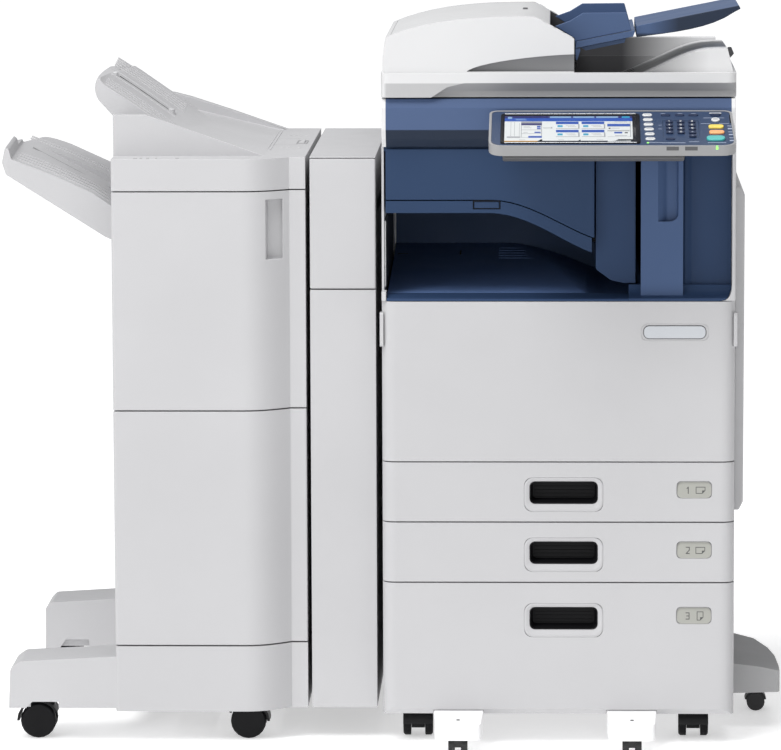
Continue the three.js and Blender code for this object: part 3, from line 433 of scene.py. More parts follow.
def cup(outer, inner, floor, back, front, deep):
    """A lining: outside wall, lip at `front`, inside wall down to a floor outline at depth `deep`."""
    return [at(outer, back), at(outer, front), at(inner, front), at(floor, deep)], False


def turned(profile, x=0.0, y=0.0, steps=32):
    """A body turned on the local z axis through (x, y) from (radius, z) points."""
    return [at(oval(x, y, r, r, steps), z) for r, z in profile], False


def rod(a, b, radius, steps=16):
    """A round bar from a to b with slightly eased ends."""
    a, b = Vector(a), Vector(b)
    turn = (b - a).to_track_quat("Z", "Y").to_matrix()
    length = (b - a).length
    ease = min(radius * 0.25, length * 0.2)
    loops = []
    for r, z in ((radius - ease, 0), (radius, ease), (radius, length - ease), (radius - ease, length)):
        loops.append([tuple(a + turn @ Vector((r * math.cos(t), r * math.sin(t), z)))
                      for t in (2 * math.pi * i / steps for i in range(steps))])
    return loops, False


def shift(x, y, z=0.0):
    return Matrix.Translation((x, y, z))


def along_y(points, y0, y1):
    """An (x, z) outline carried along y, in the machine frame."""
    return [[(a, y0, b) for a, b in points], [(a, y1, b) for a, b in points]], False


def along_x(points, x0, x1):
    """A (y, z) outline carried along x, in the machine frame."""
    return [[(x0, a, b) for a, b in points], [(x1, a, b) for a, b in points]], False


def piece(name, mat, place, body, solids, bevel=0.3, angle=34, segments=2):
    """Makes one object from closed solids drawn in a local frame, and gives it to a body."""
    bm = bmesh.new()
    for loops, ring in solids:
        rows = [[bm.verts.new(place @ Vector(p)) for p in loop] for loop in loops]
        pairs = list(zip(rows, rows[1:])) + ([(rows[-1], rows[0])] if ring else [])
        for low, high in pairs:
            for i in range(len(low)):
                j = (i + 1) % len(low)
                bm.faces.new((low[i], low[j], high[j], high[i]))
        if not ring:
            bm.faces.new(list(reversed(rows[0])))
            bm.faces.new(rows[-1])
    bmesh.ops.recalc_face_normals(bm, faces=bm.faces[:])
    mesh = bpy.data.meshes.new(name)
    bm.to_mesh(mesh)
    bm.free()
    mesh.materials.append(mat)
    obj = bpy.data.objects.new(name, mesh)
    bpy.context.scene.collection.objects.link(obj)
    soften(obj, bevel, angle, segments, merge=False)
    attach(obj, body)
    return obj


# ------------------------------------------------------------------ drawers and front cover
HANDLES = {"cassette_upper": 446, "cassette_lower": 344.5, "large_drawer": 233.5}


def drawer_front(body, top, figure):
    """Dished surround and black lining of the handle pocket, and the scooped size label."""
    x0, x1, y0, y1 = -48, 66, top - 38, top
    piece(body + "_handle_dish", SHELL, FRONT, body, [
        ([*levels(pill(x0 - 8.8, x1 + 8.8, y0 - 12.8, y1 + 6.8, 15.8), -3.15, -0.3),
          at(pill(x0 - 5, x1 + 5, y0 - 7, y1 + 4, 13), -1.3),
          at(pill(x0 - 1, x1 + 1, y0 - 1.2, y1 + 1, 10), -2.5),
          *levels(pill(x0, x1, y0, y1, 9), -2.9, -3.15)], True)], 0.0)
    piece(body + "_handle_cup", BLACK, FRONT, body, [
        cup(pill(x0 + 0.3, x1 - 0.3, y0 + 0.3, y1 - 0.3, 8.7), pill(x0 + 2, x1 - 2, y0 + 2, y1 - 2, 7.5),
            pill(x0 + 5, x1 - 5, y0 + 7, y1 - 3, 6), -24.5, -2.2, -22.5)], 0.5)
    piece(body + "_handle_ribs", BLACK, FRONT, body, [
        bar(x0 + 8, x1 - 8, y1 - 12 - 6 * k, y1 - 10.5 - 6 * k, -22.6, -21.4) for k in range(4)], 0.2)
    lx0, lx1, ly0, ly1 = 197, 256, top - 28, top + 1
    slope = FRONT @ shift(0, ly0, -0.5) @ Matrix.Rotation(-math.atan2(2.4, 29), 4, "X")
    piece(body + "_label", LABEL, slope, body, [
        ([*levels(pill(lx0 + 0.3, lx1 - 0.3, 0.3, 28.7, 8.7), -0.9, 0.1),
          at(pill(lx0 + 1.4, lx1 - 1.4, 1.2, 27.6, 7.8), 0.25)], False)], 0.2)
    # painted shade: the walls of the label recess in the darker shell grey
    piece(body + "_label_wall", SHELL_SHADE, FRONT, body, [
        ([*levels(pill(lx0 + 0.1, lx1 - 0.1, ly0 + 0.1, ly1 - 0.1, 8.9), -3.9, -0.15),
          *levels(pill(lx0 + 1, lx1 - 1, ly0 + 0.6, ly1 - 1.2, 8.2), -0.5, -3.9)], True)], 0.0)
    sheet_symbol(body + "_label_symbol", slope, body, lx0 + 40, 13.5, figure == "3")
    piece(body + "_label_figure", INK, slope, body,
          strokes(figure, lx0 + 19, 13.5, 5.2, 10.5, 0.7, 0.2, 0.42), 0.0)


def sheet_symbol(name, place, body, x, y, upright):
    """A line drawing of a sheet of paper with one corner turned up."""
    w, h, fold = (11, 15, 5) if upright else (16, 11.5, 5)
    x0, x1, y0, y1 = x - w / 2, x + w / 2, y - h / 2, y + h / 2
    outer = [(x0, y0), (x1 - fold, y0), (x1, y0 + fold), (x1, y1), (x0, y1)]
    t = 1.1
    inner = [(x0 + t, y0 + t), (x1 - fold - 0.5, y0 + t), (x1 - t, y0 + fold + 0.5), (x1 - t, y1 - t),
             (x0 + t, y1 - t)]
    flap = [(x1 - fold - 0.4, y0 + 0.6), (x1 - 0.6, y0 + fold + 0.4), (x1 - fold - 0.4, y0 + fold + 0.4)]
    piece(name, INK, place, body, [band(outer, inner, 0.2, 0.42), prism(flap, 0.2, 0.44)], 0.0)


SEGMENTS = {  # strokes of a plain digit on a 2 x 4 grid
    "0": [(0, 0, 2, 0), (2, 0, 2, 4), (2, 4, 0, 4), (0, 4, 0, 0)],
    "1": [(0.4, 3.2, 1.2, 4), (1.2, 4, 1.2, 0)],
    "2": [(0, 4, 2, 4), (2, 4, 2, 2.2), (2, 2.2, 0, 0), (0, 0, 2, 0)],
    "3": [(0, 4, 2, 4), (2, 4, 2, 0), (2, 0, 0, 0), (0.5, 2, 2, 2)],
    "4": [(1.5, 0, 1.5, 4), (1.5, 4, 0, 1.4), (0, 1.4, 2.1, 1.4)],
    "5": [(2, 4, 0, 4), (0, 4, 0, 2.2), (0, 2.2, 2, 2.2), (2, 2.2, 2, 0), (2, 0, 0, 0)],
    "6": [(2, 4, 0, 3), (0, 3, 0, 0), (0, 0, 2, 0), (2, 0, 2, 2), (2, 2, 0, 2)],
    "7": [(0, 4, 2, 4), (2, 4, 0.7, 0)],
    "8": [(0, 0, 2, 0), (2, 0, 2, 4), (2, 4, 0, 4), (0, 4, 0, 0), (0, 2, 2, 2)],
    "9": [(0, 1, 2, 0), (2, 0, 2, 4), (2, 4, 0, 4), (0, 4, 0, 2), (0, 2, 2, 2)],
}


def strokes(figure, x, y, w, h, half, z0, z1):
    """Short bars that draw one digit, w wide and h high, centred on (x, y)."""
    bars = []
    for ax, ay, bx, by in SEGMENTS[figure]:
        a = Vector((x - w / 2 + ax * w / 2, y - h / 2 + ay * h / 4))
        b = Vector((x - w / 2 + bx * w / 2, y - h / 2 + by * h / 4))
        side = (b - a).normalized().orthogonal() * half
        end = (b - a).normalized() * half * 0.85
        corners = [tuple(a - end - side), tuple(b + end - side), tuple(b + end + side), tuple(a - end + side)]
        bars.append(prism(corners, z0, z1 + 0.01 * len(bars)))
    return bars


for number, (handle_body, handle_top) in enumerate(HANDLES.items()):
    drawer_front(handle_body, handle_top, str(number + 1))

piece("badge_rim", SHELL, FRONT, "front_cover", [
    ([*levels(pill(137.7, 249.3, 682.7, 711, 11.8), -1.15, -0.2),
      *levels(pill(141, 245.5, 685.6, 708.2, 9.4), -0.9, -1.15)], True)], 0.0)
piece("badge_edge", GREY, FRONT, "front_cover", [
    band(pill(141.1, 245.4, 685.7, 708.1, 9.3), pill(142, 244.5, 686.6, 707.2, 8.6), -1.1, 0.3)], 0.2)
piece("badge_plate", BADGE, FRONT, "front_cover", [prism(pill(142.1, 244.4, 686.7, 707.1, 8.5), -1.1, 0.5)],
      0.4)

# ------------------------------------------------------------------ control panel
UI_NAVY = lit("display_navy", (0.011, 0.014, 0.11), 0.05)
UI_BLUE = lit("display_blue", (0.013, 0.065, 0.33), 0.05)
UI_SKY = lit("display_sky", (0.2, 0.32, 0.48), 0.05)
UI_CYAN = lit("display_cyan", (0.02, 0.26, 0.42), 0.06)
UI_WHITE = lit("display_white", (0.58, 0.6, 0.6), 0.05, 0.02)
UI_GREY = lit("display_grey", (0.25, 0.26, 0.28), 0.03, 0.02)
UI_BLACK = moulded("display_black", (0.004, 0.004, 0.006), 0.12, bump=0.0, spread=0.0)
UI_ORANGE = lit("display_orange", (0.5, 0.25, 0.02), 0.06)
TICK = moulded("panel_print", (0.33, 0.37, 0.47), 0.5, spread=0.02)


def on_panel(name, mat, solids, bevel=0.3):
    """A piece that belongs to the tilting panel, drawn in its frame."""
    return piece(name, mat, PANEL, "control_panel", solids, bevel)


def screen():
    """The touch screen: black bezel with bright edges, and a plain layout of blocks with no lettering."""
    glass_z = 0.5

    def blocks(name, mat, items, level):
        low, high = glass_z - 0.1, glass_z + level
        on_panel(name, mat, [bar(x0, x1, y0, y1, low, high) for x0, x1, y0, y1 in items], 0.0)

    on_panel("screen_bezel", GLOSS_BLACK, [
        ([at(pill(-93.9, 132.9, -157.4, -17.6, 5.4), 0.2), at(pill(-93.7, 132.7, -157.2, -17.8, 5.4), 1.1),
          at(pill(-92, 131, -155, -20, 4.5), 1.6), *levels(pill(-89, 127, -151, -26.5, 1.5), 0.9, 0.2)],
          True)], 0.0)
    on_panel("screen_bezel_edges", SILVER, [
        along_x(rounded(corners, 3), -88, 127) for corners in (
            [(-21.6, 0.8), (-17.7, 0.8, 0.8), (-18.2, 2.0, 1.0), (-21.2, 1.9, 0.8)],
            [(-157.3, 0.8), (-154.6, 0.8), (-154.9, 1.9, 0.6), (-156.9, 1.9, 0.8)])], 0.0)
    blocks("display_ground", UI_WHITE, [(-88, 121, -150, -29)], 0.1)
    blocks("display_bottom", UI_BLACK,
           [(-88.5, 126.5, -150.8, -139), (121, 126.5, -139, -26.8), (-88.5, 121, -29, -26.8)],
           0.14)
    blocks("display_top_bar", UI_NAVY, [(-88, 121, -39, -29)], 0.2)
    blocks("display_title_bar", UI_BLUE, [(-88, 121, -54, -39)], 0.2)
    blocks("display_tabs", UI_SKY, [(-14, 21, -38, -31), (24, 59, -38, -31), (62, 98, -38, -31)], 0.3)
    blocks("display_help", UI_CYAN, [(104, 117, -38, -31)], 0.3)
    blocks("display_mark", UI_SKY, [(-83, -76, -42, -33), (-70, -54, -44, -42.5), (-70, -52, -48, -46.5)],
           0.3)
    # page preview at the left, with a window of settings over it
    blocks("display_page", UI_GREY, [(-78, -77.4, -125, -56), (-85, -61, -56.6, -56), (-72, -71.4, -125, -56),
                                     (-64, -63.4, -125, -62), (-84, -62, -132, -126)], 0.2)
    blocks("display_window", UI_GREY, [(-61, -27, -131, -55)], 0.24)
    blocks("display_window_face", UI_WHITE,
           [(-60, -28, -94, -74), (-60, -28, -112, -96), (-60, -28, -130, -114)], 0.3)
    blocks("display_window_head", UI_NAVY, [(-61, -27, -72, -64)], 0.34)
    blocks("display_window_keys", UI_BLUE,
           [(-49, -27, -132, -124), (-35, -29, -84, -76), (-35, -29, -92, -86),
                                            (-39, -29, -110, -104)], 0.38)
    blocks("display_caption", UI_GREY, [(-25, -12, -87, -85), (-12, -10, -88, -82), (-57, -47, -81, -79.5),
                                        (-57, -44, -86, -84.5), (-57, -50, -108, -106.5)], 0.4)
    # four function buttons, each a blue head over a white body
    heads, bodies, rims, marks, lines = [], [], [], [], []
    for x in (-4, 38):
        for y in (-56, -95):
            heads.append((x, x + 37, y - 12, y))
            bodies.append((x, x + 36.4, y - 31, y - 12))
            rims.append((x + 36.4, x + 38.4, y - 33, y - 12))
            rims.append((x, x + 38.4, y - 33, y - 31))
            marks.append((x + 2.5, x + 11, y - 26, y - 17))
            lines += [(x + 16, x + 31, y - 20, y - 18.5), (x + 19, x + 33, y - 25, y - 23.5)]
    blocks("display_button_shade", UI_GREY, rims, 0.22)
    blocks("display_buttons", UI_WHITE, bodies, 0.26)
    blocks("display_button_heads", UI_BLUE, heads, 0.3)
    blocks("display_button_marks", UI_CYAN, marks, 0.32)
    blocks("display_button_lines", UI_GREY, lines, 0.3)
    # column of choices at the right
    blocks("display_column", UI_GREY, [(80, 118, -62.5, -61.5), (80, 118, -80, -79), (80, 118, -97, -96),
                                       (80, 118, -128, -127), (117, 118, -128, -54), (86, 100, -88, -86),
                                       (92, 112, -123, -121), (92, 112, -58, -56.5)], 0.24)
    blocks("display_column_blue", UI_BLUE, [(80, 117, -78, -67), (91, 104, -112, -105)], 0.3)
    blocks("display_column_dots", UI_BLACK,
           [(108, 113, -111, -107), (80, 116, -101, -99.5), (82, 85, -90, -85)], 0.3)
    # page tabs along the bottom
    on_panel("display_page_tabs", UI_WHITE, [
        prism([(-88, -146), (-33, -146), (-28, -139), (-88, -139)], glass_z - 0.1, glass_z + 0.3),
        prism([(-26, -146), (32, -146), (37, -139), (-26, -139)], glass_z - 0.1, glass_z + 0.3),
        prism([(36, -146), (92, -146), (98, -139), (36, -139)], glass_z - 0.1, glass_z + 0.3),
        bar(80, 118, -150, -146.5, glass_z - 0.1, glass_z + 0.3)], 0.0)
    blocks("display_tab_line", UI_ORANGE, [(-88, -34, -149.5, -146.5)], 0.34)
    blocks("display_tab_words", UI_GREY,
           [(-64, -54, -143, -141.5), (0, 9, -143, -141.5), (62, 73, -143, -141.5),
                                          (88, 110, -149, -147.5)], 0.4)


FUNCTION_KEYS = [(146 + 0.7 * k, -22.6 - 22.7 * k) for k in range(6)]


def soft_keys():
    """Raised keys that are part of the panel's face, with their printed ticks and lamps."""
    top = -0.6
    light = []
    for x, y in FUNCTION_KEYS:
        light += [[*levels(pill(x - 8, x + 8, y - 5.5, y + 5.5, 4.6), top - 0.2, 0.6),
                   at(pill(x - 6.9, x + 6.9, y - 4.4, y + 4.4, 3.8), 1.4)]]
    on_panel("function_keys", KEY_LIGHT, [(loops, False) for loops in light], 0.3)
    on_panel("function_key_marks", GREY, [
        bar(x - 4.5, x + 4.5, y - 0.6, y + 0.6, 1.3, 1.46)
        for x, y in FUNCTION_KEYS], 0.0)
    dark = [(176, -23, 8, 4.2), (199, -23, 8, 4.2), (221.5, -23, 8, 4.2), (182, -136.5, 7.5, 4)]
    on_panel("mode_keys", KEY_DARK, [
        ([*levels(pill(x - w, x + w, y - h, y + h, 3.4), top - 0.2, 0.4),
          at(pill(x - w + 1.2, x + w - 1.2, y - h + 1.2, y + h - 1.2, 2.4), 1.1)], False)
        for x, y, w, h in dark], 0.25)
    on_panel("saver_key", KEY_LIGHT, [
        ([*levels(oval(257.5, -46, 7, 8.6), top - 0.2, 0.8), at(oval(257.5, -46, 5.8, 7.2), 1.6)],
         False)], 0.3)
    on_panel("saver_key_mark", GREY, [bar(253.5, 261.5, -47.5, -45, 1.5, 1.68)], 0.0)
    on_panel("status_lens", KEY_DARK, [
        ([*levels(rounded([(248, -17, 2), (251, -28.5, 4), (265, -28.5, 4), (268, -17, 2)], 4),
                  top - 0.2, 0.6),
          at(rounded([(250, -18, 2), (253, -27, 3), (263, -27, 3), (266, -18, 2)], 4), 1.2)], False)], 0.2)
    on_panel("status_lens_bar", KEY_LIGHT, [
        prism(pill(248, 268, -16, -12, 1.5, 3), top - 0.2, 0.2)], 0.2)
    ticks = [(238, 272, -36, -34.6), (233, 249, -63, -61.8), (263, 279, -63, -61.8), (242, 272, -153, -151.2),
             (168, 176, -15, -13.8), (196, 204, -15, -13.8), (218, 226, -15, -13.8), (168, 206, -154, -152),
             (147, 168, -152, -150.6), (212, 228, -149, -147.5)]
    ticks += [(164, 169, -70, -69), (163, 169, -88, -87), (179, 187, -131.6, -130.6)]
    on_panel("panel_ticks", TICK, [
        bar(x0, x1, y0, y1, top - 0.1, top + 0.14) for x0, x1, y0, y1 in ticks], 0.0)
    on_panel("panel_lamps", GREEN, [
        prism(pill(143.5, 147, -155, -151.5, 1.2, 3), top - 0.1, 0.1)], 0.2)
    lines = []
    for k in range(6):
        y = -75 - 14 * k
        lines.append(bar(276 + k * 0.4, 285.2, y, y + (5 if k % 2 else 2.4), top - 0.1, top + 0.1))
    on_panel("panel_side_stripes", TICK, lines, 0.0)
    on_panel("panel_side_notch", BLACK, [
        prism(pill(280.5, 283.5, -60, -22, 1.4, 3), top - 0.1, top + 0.2)], 0.1)


def numerals():
    """Digits and signs on the ten-key pad."""
    for row in range(3):
        for column in range(3):
            figure = str(1 + column + 3 * row)
            on_panel("digit_" + figure, KEY_LIGHT,
                     strokes(figure, 181.2 + 18.6 * column, -56 - 16.8 * row, 2.6, 5, 0.35, 1.5, 1.75), 0.0)
    on_panel("digit_0", KEY_LIGHT, strokes("0", 199.8, -106.4, 2.6, 5, 0.35, 1.5, 1.75), 0.0)
    signs = [bar(217, 220, -123.7, -122.7, 1.5, 1.72)]
    for x in (181.2, 218.4):
        signs += [bar(x - 2, x + 2, -106.8, -106, 1.5, 1.72), bar(x - 0.4, x + 0.4, -108.4, -104.4, 1.5, 1.7)]
    on_panel("key_signs", TICK, signs, 0.0)


def panel_rim():
    """Socket covers and lamp on the rim's front edge."""
    front = PANEL @ shift(0, -170, 0)
    piece("port_covers", GREY, front, "control_panel", [
        along_x(rounded([(3.2, -0.1), (-0.1, -0.1, 1.4), (-0.35, -7.5), (1.5, -7.5), (3.2, -2.0)], 4), x0, x1)
        for x0, x1 in ((175, 195), (205, 225.5))], 0.2)
    piece("rim_lamp", GREEN, front, "control_panel", [
        along_x(rounded([(2.4, 0.1), (-0.1, 0.1, 1.6), (-0.35, -6), (1.5, -6), (2.4, -2)], 4), 255, 258.6)],
        0.2)
    on_panel("rim_seam", DARK_GREY, [
        band(rounded([(-109.9, -166.4, 24), (285.9, -166.4, 24), (281.9, -3.6, 12), (-109.9, -3.6, 12)], 8),
             rounded([(-109.2, -165.7, 23.4), (285.2, -165.7, 23.4), (281.3, -4.3, 11.5),
                      (-109.2, -4.3, 11.5)], 8),
             -0.9, -0.5)], 0.0)


screen()
soft_keys()
numerals()
panel_rim()

# ------------------------------------------------------------------ finisher
def ribbon(profile, y0, y1, lift, sink, lean=0.0, lean_y=0.0, cap=None):
    """A strip along an (x, z) line, `lift` above it and `sink` below, leaning with y, under cap(y)."""
    def level(z, y):
        z += lean * (y - lean_y)
        return min(z, cap(y)) if cap else z

    line = [(x, z, lift) for x, z in profile] + [(x, z, -sink) for x, z in reversed(profile)]
    return [[(x, y, level(z, y) + off) for x, z, off in line] for y in (y0, y1)], False


PROOF_LINE = [(-767, 1101.4), (-764, 1098), (-750, 1089.4), (-737, 1080.9), (-725, 1073), (-707, 1060.7),
              (-689, 1048), (-672, 1036), (-655, 1023.6), (-645, 1016.2)]
STACK_LINE = [(-759, 896.6), (-788, 916), (-822, 931.7), (-856, 947), (-890, 960), (-918, 970.6)]


def tray_ribs():
    """Raised ribs that the sheets slide on, and the slot along the middle of each tray."""
    piece("proof_tray_ribs", SHELL, MACHINE, "finisher_top", [
        ribbon(PROOF_LINE[1:], y, y + 4, 1.5, 1.5, 0.1, 150)
        for y in (166, 182, 198, 214, 352, 370, 388, 406, 424)], 0.6)
    piece("proof_tray_slot", BLACK, MACHINE, "finisher_top", [
        ribbon(PROOF_LINE[2:-1], 289, 292, 0.25, 1.0, 0.1, 150)], 0.0)
    piece("proof_tray_channel", SHELL_FINE, MACHINE, "finisher_top", [
        ribbon(PROOF_LINE[1:-1], y, y + 2, 0.9, 1.0, 0.1, 150) for y in (268, 314)], 0.5)
    piece("proof_tray_pins", SHELL_FINE, MACHINE, "finisher_top", [
        turned([(5, 1098), (5, 1110), (3.5, 1112)], -757, 283),
        turned([(6, 1035), (6, 1046.5), (4.5, 1048)], -662, 292)], 0.4)
    piece("stack_tray_ribs", SHELL, MACHINE, "stack_tray", [
        ribbon(STACK_LINE, y, y + 4, 1.5, 1.5, 0.058, 150) for y in (172, 196, 220, 244, 420, 444)], 0.6)
    dip = [(x, 880 + (-740 - x) * 0.5333) for x in (-760, -790, -820, -850, -880, -905)]
    piece("stack_tray_channel", SHELL_SHADE, MACHINE, "stack_tray", [
        ribbon(dip, 330, 333, 0.5, 1.0, 0.058, 150)], 0.3)


def finisher_marks():
    """Buttons, ticks and the lever on top of the finisher, the rim of its floor, and rails and rollers in its
    bay.
    """
    top = 985
    piece("finisher_buttons", SHELL_SHADE, MACHINE, "finisher_top", [
        prism(pill(x - w, x + w, 22, 30, 1.4, 3), top - 0.4, top + 0.5)
        for x, w in ((-704, 3.5), (-694.5, 2), (-683, 2.5), (-669, 1.6), (-634, 3))], 0.2)
    ticks = []
    for row, y in ((0, 236), (1, 480)):
        for k in range(4):
            x = -472 + 9.6 * k
            ticks.append(prism([(x, y), (x + 1.6, y), (x + 4.6, y + 14), (x + 3, y + 14)], top - 0.3,
                               top + 0.4))
    piece("finisher_top_ticks", WHITE, MACHINE, "finisher_top", ticks, 0.0)
    piece("finisher_top_lines", SHELL_SHADE, MACHINE, "finisher_top", [
        bar(-486, -447, y, y + 1.2, top - 0.3, top + 0.25) for y in (297, 420)], 0.0)
    piece("finisher_lever", SHELL_FINE, MACHINE, "finisher_top", [
        prism([(-446, 318), (-436, 318), (-436, 372), (-440, 372)], top - 0.3, top + 3)], 0.6)
    piece("finisher_lever_slot", SHELL_SHADE, MACHINE, "finisher_top", [
        band(pill(-450, -431, 312, 378, 3), pill(-447.6, -433.4, 314.4, 375.6, 2), top - 0.3, top + 0.8)],
        0.3)
    piece("finisher_floor_rim", SHELL_FINE, MACHINE, "finisher_top", [
        band(pill(-494.5, -487, 186, 596, 3), pill(-492.5, -489, 188, 594, 1.5), top - 0.3, top + 0.9)], 0.3)
    piece("finisher_bay_rails", STEEL, MACHINE, "main", [
        bar(-734, -432, 300, 330, 640, 652), bar(-734, -432, 500, 530, 640, 652),
        bar(-700, -640, 260, 560, 653, 760)], 0.8)
    piece("finisher_rollers", DARK_GREY, MACHINE, "main", [
        rod((-640, y, 880), (-640, y + 26, 880), 12) for y in (180, 260, 360, 440)]
        + [rod((-640, 140, 880), (-640, 500, 880), 4)], 0.3)


tray_ribs()
finisher_marks()


# ------------------------------------------------------------------ output recess
def recess_floor(y):
    """Height of the inner tray's flat part, which rises towards the back."""
    return 755 + 35 * (y - 61) / 489


def recess_details():
    piece("relay_latch", RELAY, front_at(22.5), "relay_flap", [
        ([*levels(pill(-139.5, -98.5, 902, 912, 2), -0.5, 1.4),
          at(pill(-138.5, -99.5, 903.5, 911.4, 1.5), 2.1)], False)], 0.3)
    piece("relay_latch_gap", BLACK, front_at(22.5), "relay_flap", [
        band(pill(-142, -96, 900, 915, 1.2), pill(-140.2, -97.8, 901.6, 913, 1), -0.4, 1.2)], 0.0)
    piece("ledge_seam", BLACK, MACHINE, "main", [
        bar(116.7, 117.3, 3, 58, 753.4, 754.75), bar(116.7, 117.3, -0.15, 2, 749.4, 752)], 0.0)
    tray = [(-104, 791), (-85, 789.9), (-60, 785.6), (-35, 777.8), (-10, 768.6), (15, 759.5), (40, 751.5),
            (62, 745.5)]
    # the ribs share the tray's lightened blue, painted light
    piece("recess_tray_ribs", BLUE_TRAY, MACHINE, "main", [
        ribbon(tray, y, y + 3, 1.0, 1.2, cap=recess_floor) for y in (395, 420, 445, 470, 495)], 0.4)
    piece("recess_tray_marks", BLACK, MACHINE, "main", [
        bar(-172, -169.5, 430, 470, 779, 784.9), bar(-280, -262, 440, 443, 779, 782.9)], 0.2)
    piece("recess_left_strip", WHITE, MACHINE, "main", [
        bar(-289.6, -287.6, 44, 60, 768, 878), bar(-289.6, -287.4, 470, 520, 772, 875)], 0.4)
    piece("recess_left_guard", DARK_GREY, MACHINE, "main", [bar(-290.2, -288.2, 61, 539, 766, 880)], 0.2)
    # the skirt uses the relay's darker blue, painted shade under the scanner
    piece("scanner_skirt", RELAY, MACHINE, "main", [bar(-290, 136, 30.3, 30.9, 996, 1003.8)], 0.0)
    piece("exit_rollers", DARK_GREY, MACHINE, "main", [
        rod((60.5, y, 838), (60.5, y + 22, 838), 6) for y in (150, 230, 330, 410)], 0.3)


# ------------------------------------------------------------------ document feeder
def feeder_details():
    hinge = [(36, 1165), (28.4, 1165), (28.4, 1146), (31, 1144.6), (36.4, 1161)]
    piece("tray_bracket", BLUE, MACHINE, "feeder", [along_y(hinge, 59, 63), along_y(hinge, 365, 369)], 0.3)
    lip = [(37, 1165.6), (45.6, 1160.6), (109.7, 1173.4), (112, 1180.8)]
    piece("tray_underlip", BLUE, MACHINE, "document_tray", [along_y(lip, 70, 74), along_y(lip, 354, 358)],
          0.3)
    slant = MACHINE @ Matrix.Translation((-41, 0, 1221)) @ Matrix.Rotation(math.atan2(37.5, 67), 4, "Y")
    piece("feeder_clips", WHITE, slant, "feeder", [
        bar(x, x + 13, 5.6, 16, -0.4, 1.3) for x in (6, 24, 42, 60)] + [
        bar(x, x + 11, 433, 443, -0.4, 1.3) for x in (10, 32, 54)], 0.5)
    piece("feeder_guide_edges", KEY_LIGHT, slant, "feeder",
          [bar(4, 74, 17, 18.6, -0.5, 0.8), bar(4, 74, 431.4, 433, -0.5, 0.8)],
          0.2)
    piece("separation_rollers", DARK_GREY, MACHINE, "feeder", [
        rod((-20, y, 1150), (-20, y + 34, 1150), 11) for y in (140, 208, 276)] + [
        rod((-20, 60, 1150), (-20, 400, 1150), 4), rod((-150, 50, 1150), (-150, 400, 1150), 5)] + [
        rod((-150, y, 1150), (-150, y + 24, 1150), 10) for y in (90, 190, 290, 360)], 0.3)
    piece("pickup_roller", GREY, MACHINE, "feeder_cover", [
        rod((-34, y, 1181), (-34, y + 40, 1181), 9) for y in (180,
            240)] + [rod((-34, 160, 1181), (-34, 300, 1181), 3)], 0.3)
    piece("eject_rollers", DARK_GREY, MACHINE, "feeder", [
        rod((26.5, y, 1132), (26.5, y + 18, 1132), 5) for y in (90, 160, 260, 330)], 0.3)
    piece("cover_latch", GREY, MACHINE, "feeder_cover", [bar(-60, -52, 212, 238, 1216, 1222.6)], 0.6)
    piece("stop_lever", DARK_GREY, MACHINE, "feeder", [
        along_y([(288, 1120), (296, 1136.8), (302, 1136.8), (306.7, 1125.7), (300.6, 1118.4)], 516, 524)],
        0.8)
    piece("valley_ribs", DARK_GREY, MACHINE, "feeder", [
        ribbon([(30, 1110), (60, 1110), (92, 1110.1), (112, 1112.6), (130, 1119.4)], y, y + 3, 0.9, 1,
               -0.0284, 18)
        for y in (90, 150, 210, 270, 330, 390)], 0.3)
    pad = piece("platen_pad", WHITE, MACHINE, "feeder", [
        prism(pill(-232, 217, 59, 373, 4), 1085.3, 1087.7)], 0.3)
    piece("lid_hinge_caps", GREY, MACHINE, "feeder", [
        bar(x + 4, x + 42, 545.3, 547, 1095, 1140) for x in (-215, 190)], 0.6)


recess_details()
feeder_details()


# ------------------------------------------------------------------ insides, sides and back
ENGINE_REAR, FINISHER_REAR = 600, 650
ENGINE_SIDE, DUPLEX_FACE = 294, 311


def inside_details():
    colours = [YELLOW, TEAL, ORANGE, DARK_GREY]
    for k, mat in enumerate(colours):
        x = -215 + 88 * k
        piece("toner_cap_%d" % k, mat, front_at(45), "main", [
            turned([(31, -0.5), (31, 3), (28, 5), (12, 5), (11, 9), (3, 9)], x, 688)], 0.4)
        piece("toner_grip_%d" % k, GREY, front_at(45), "main", [bar(x - 9, x + 9, 686, 690, 8, 14)], 0.8)
    piece("engine_rails", STEEL, MACHINE, "main", [
        bar(-275, -268, 60, 540, 500, 520), bar(268, 275, 60, 540, 500, 520)], 0.5)
    for body, z0, z1 in (("cassette_upper", 388, 455), ("cassette_lower", 288, 355),
                         ("large_drawer", 71, 250)):
        piece(body + "_guides", STEEL, MACHINE, body, [
            bar(-180, -176, 190, 330, z0 - 0.4, z1), bar(176, 180, 190, 330, z0 - 0.4, z1),
            bar(-60, 60, 470, 474, z0 - 0.4, z1)], 0.5)
        piece(body + "_lift_plate", SHELL_FINE, MACHINE, body, [
            prism(pill(-170, 170, 60, 460, 12), z0 + 1, z0 + 3.5)], 0.5)
        piece(body + "_scale", INK, MACHINE, body, [
            bar(-170 + 20 * k, -169 + 20 * k, 478, 486, z0 - 0.4, z0 + 0.3) for k in range(17)], 0.0)
    piece("platen_scale", DARK_GREY, MACHINE, "main", [
        bar(-236 + 22 * k, -235 + 22 * k, 46, 52, 1084.8, 1085.3) for k in range(21)], 0.0)
    piece("scan_lamp", KEY_LIGHT, MACHINE, "scan_carriage", [rod((-242, 84, 1057), (-242, 490, 1057), 3.5)],
          0.2)
    piece("fuser_roller_shaft", STEEL, MACHINE, "main", [rod((258, 122, 645), (258, 488, 645), 6)], 0.3)


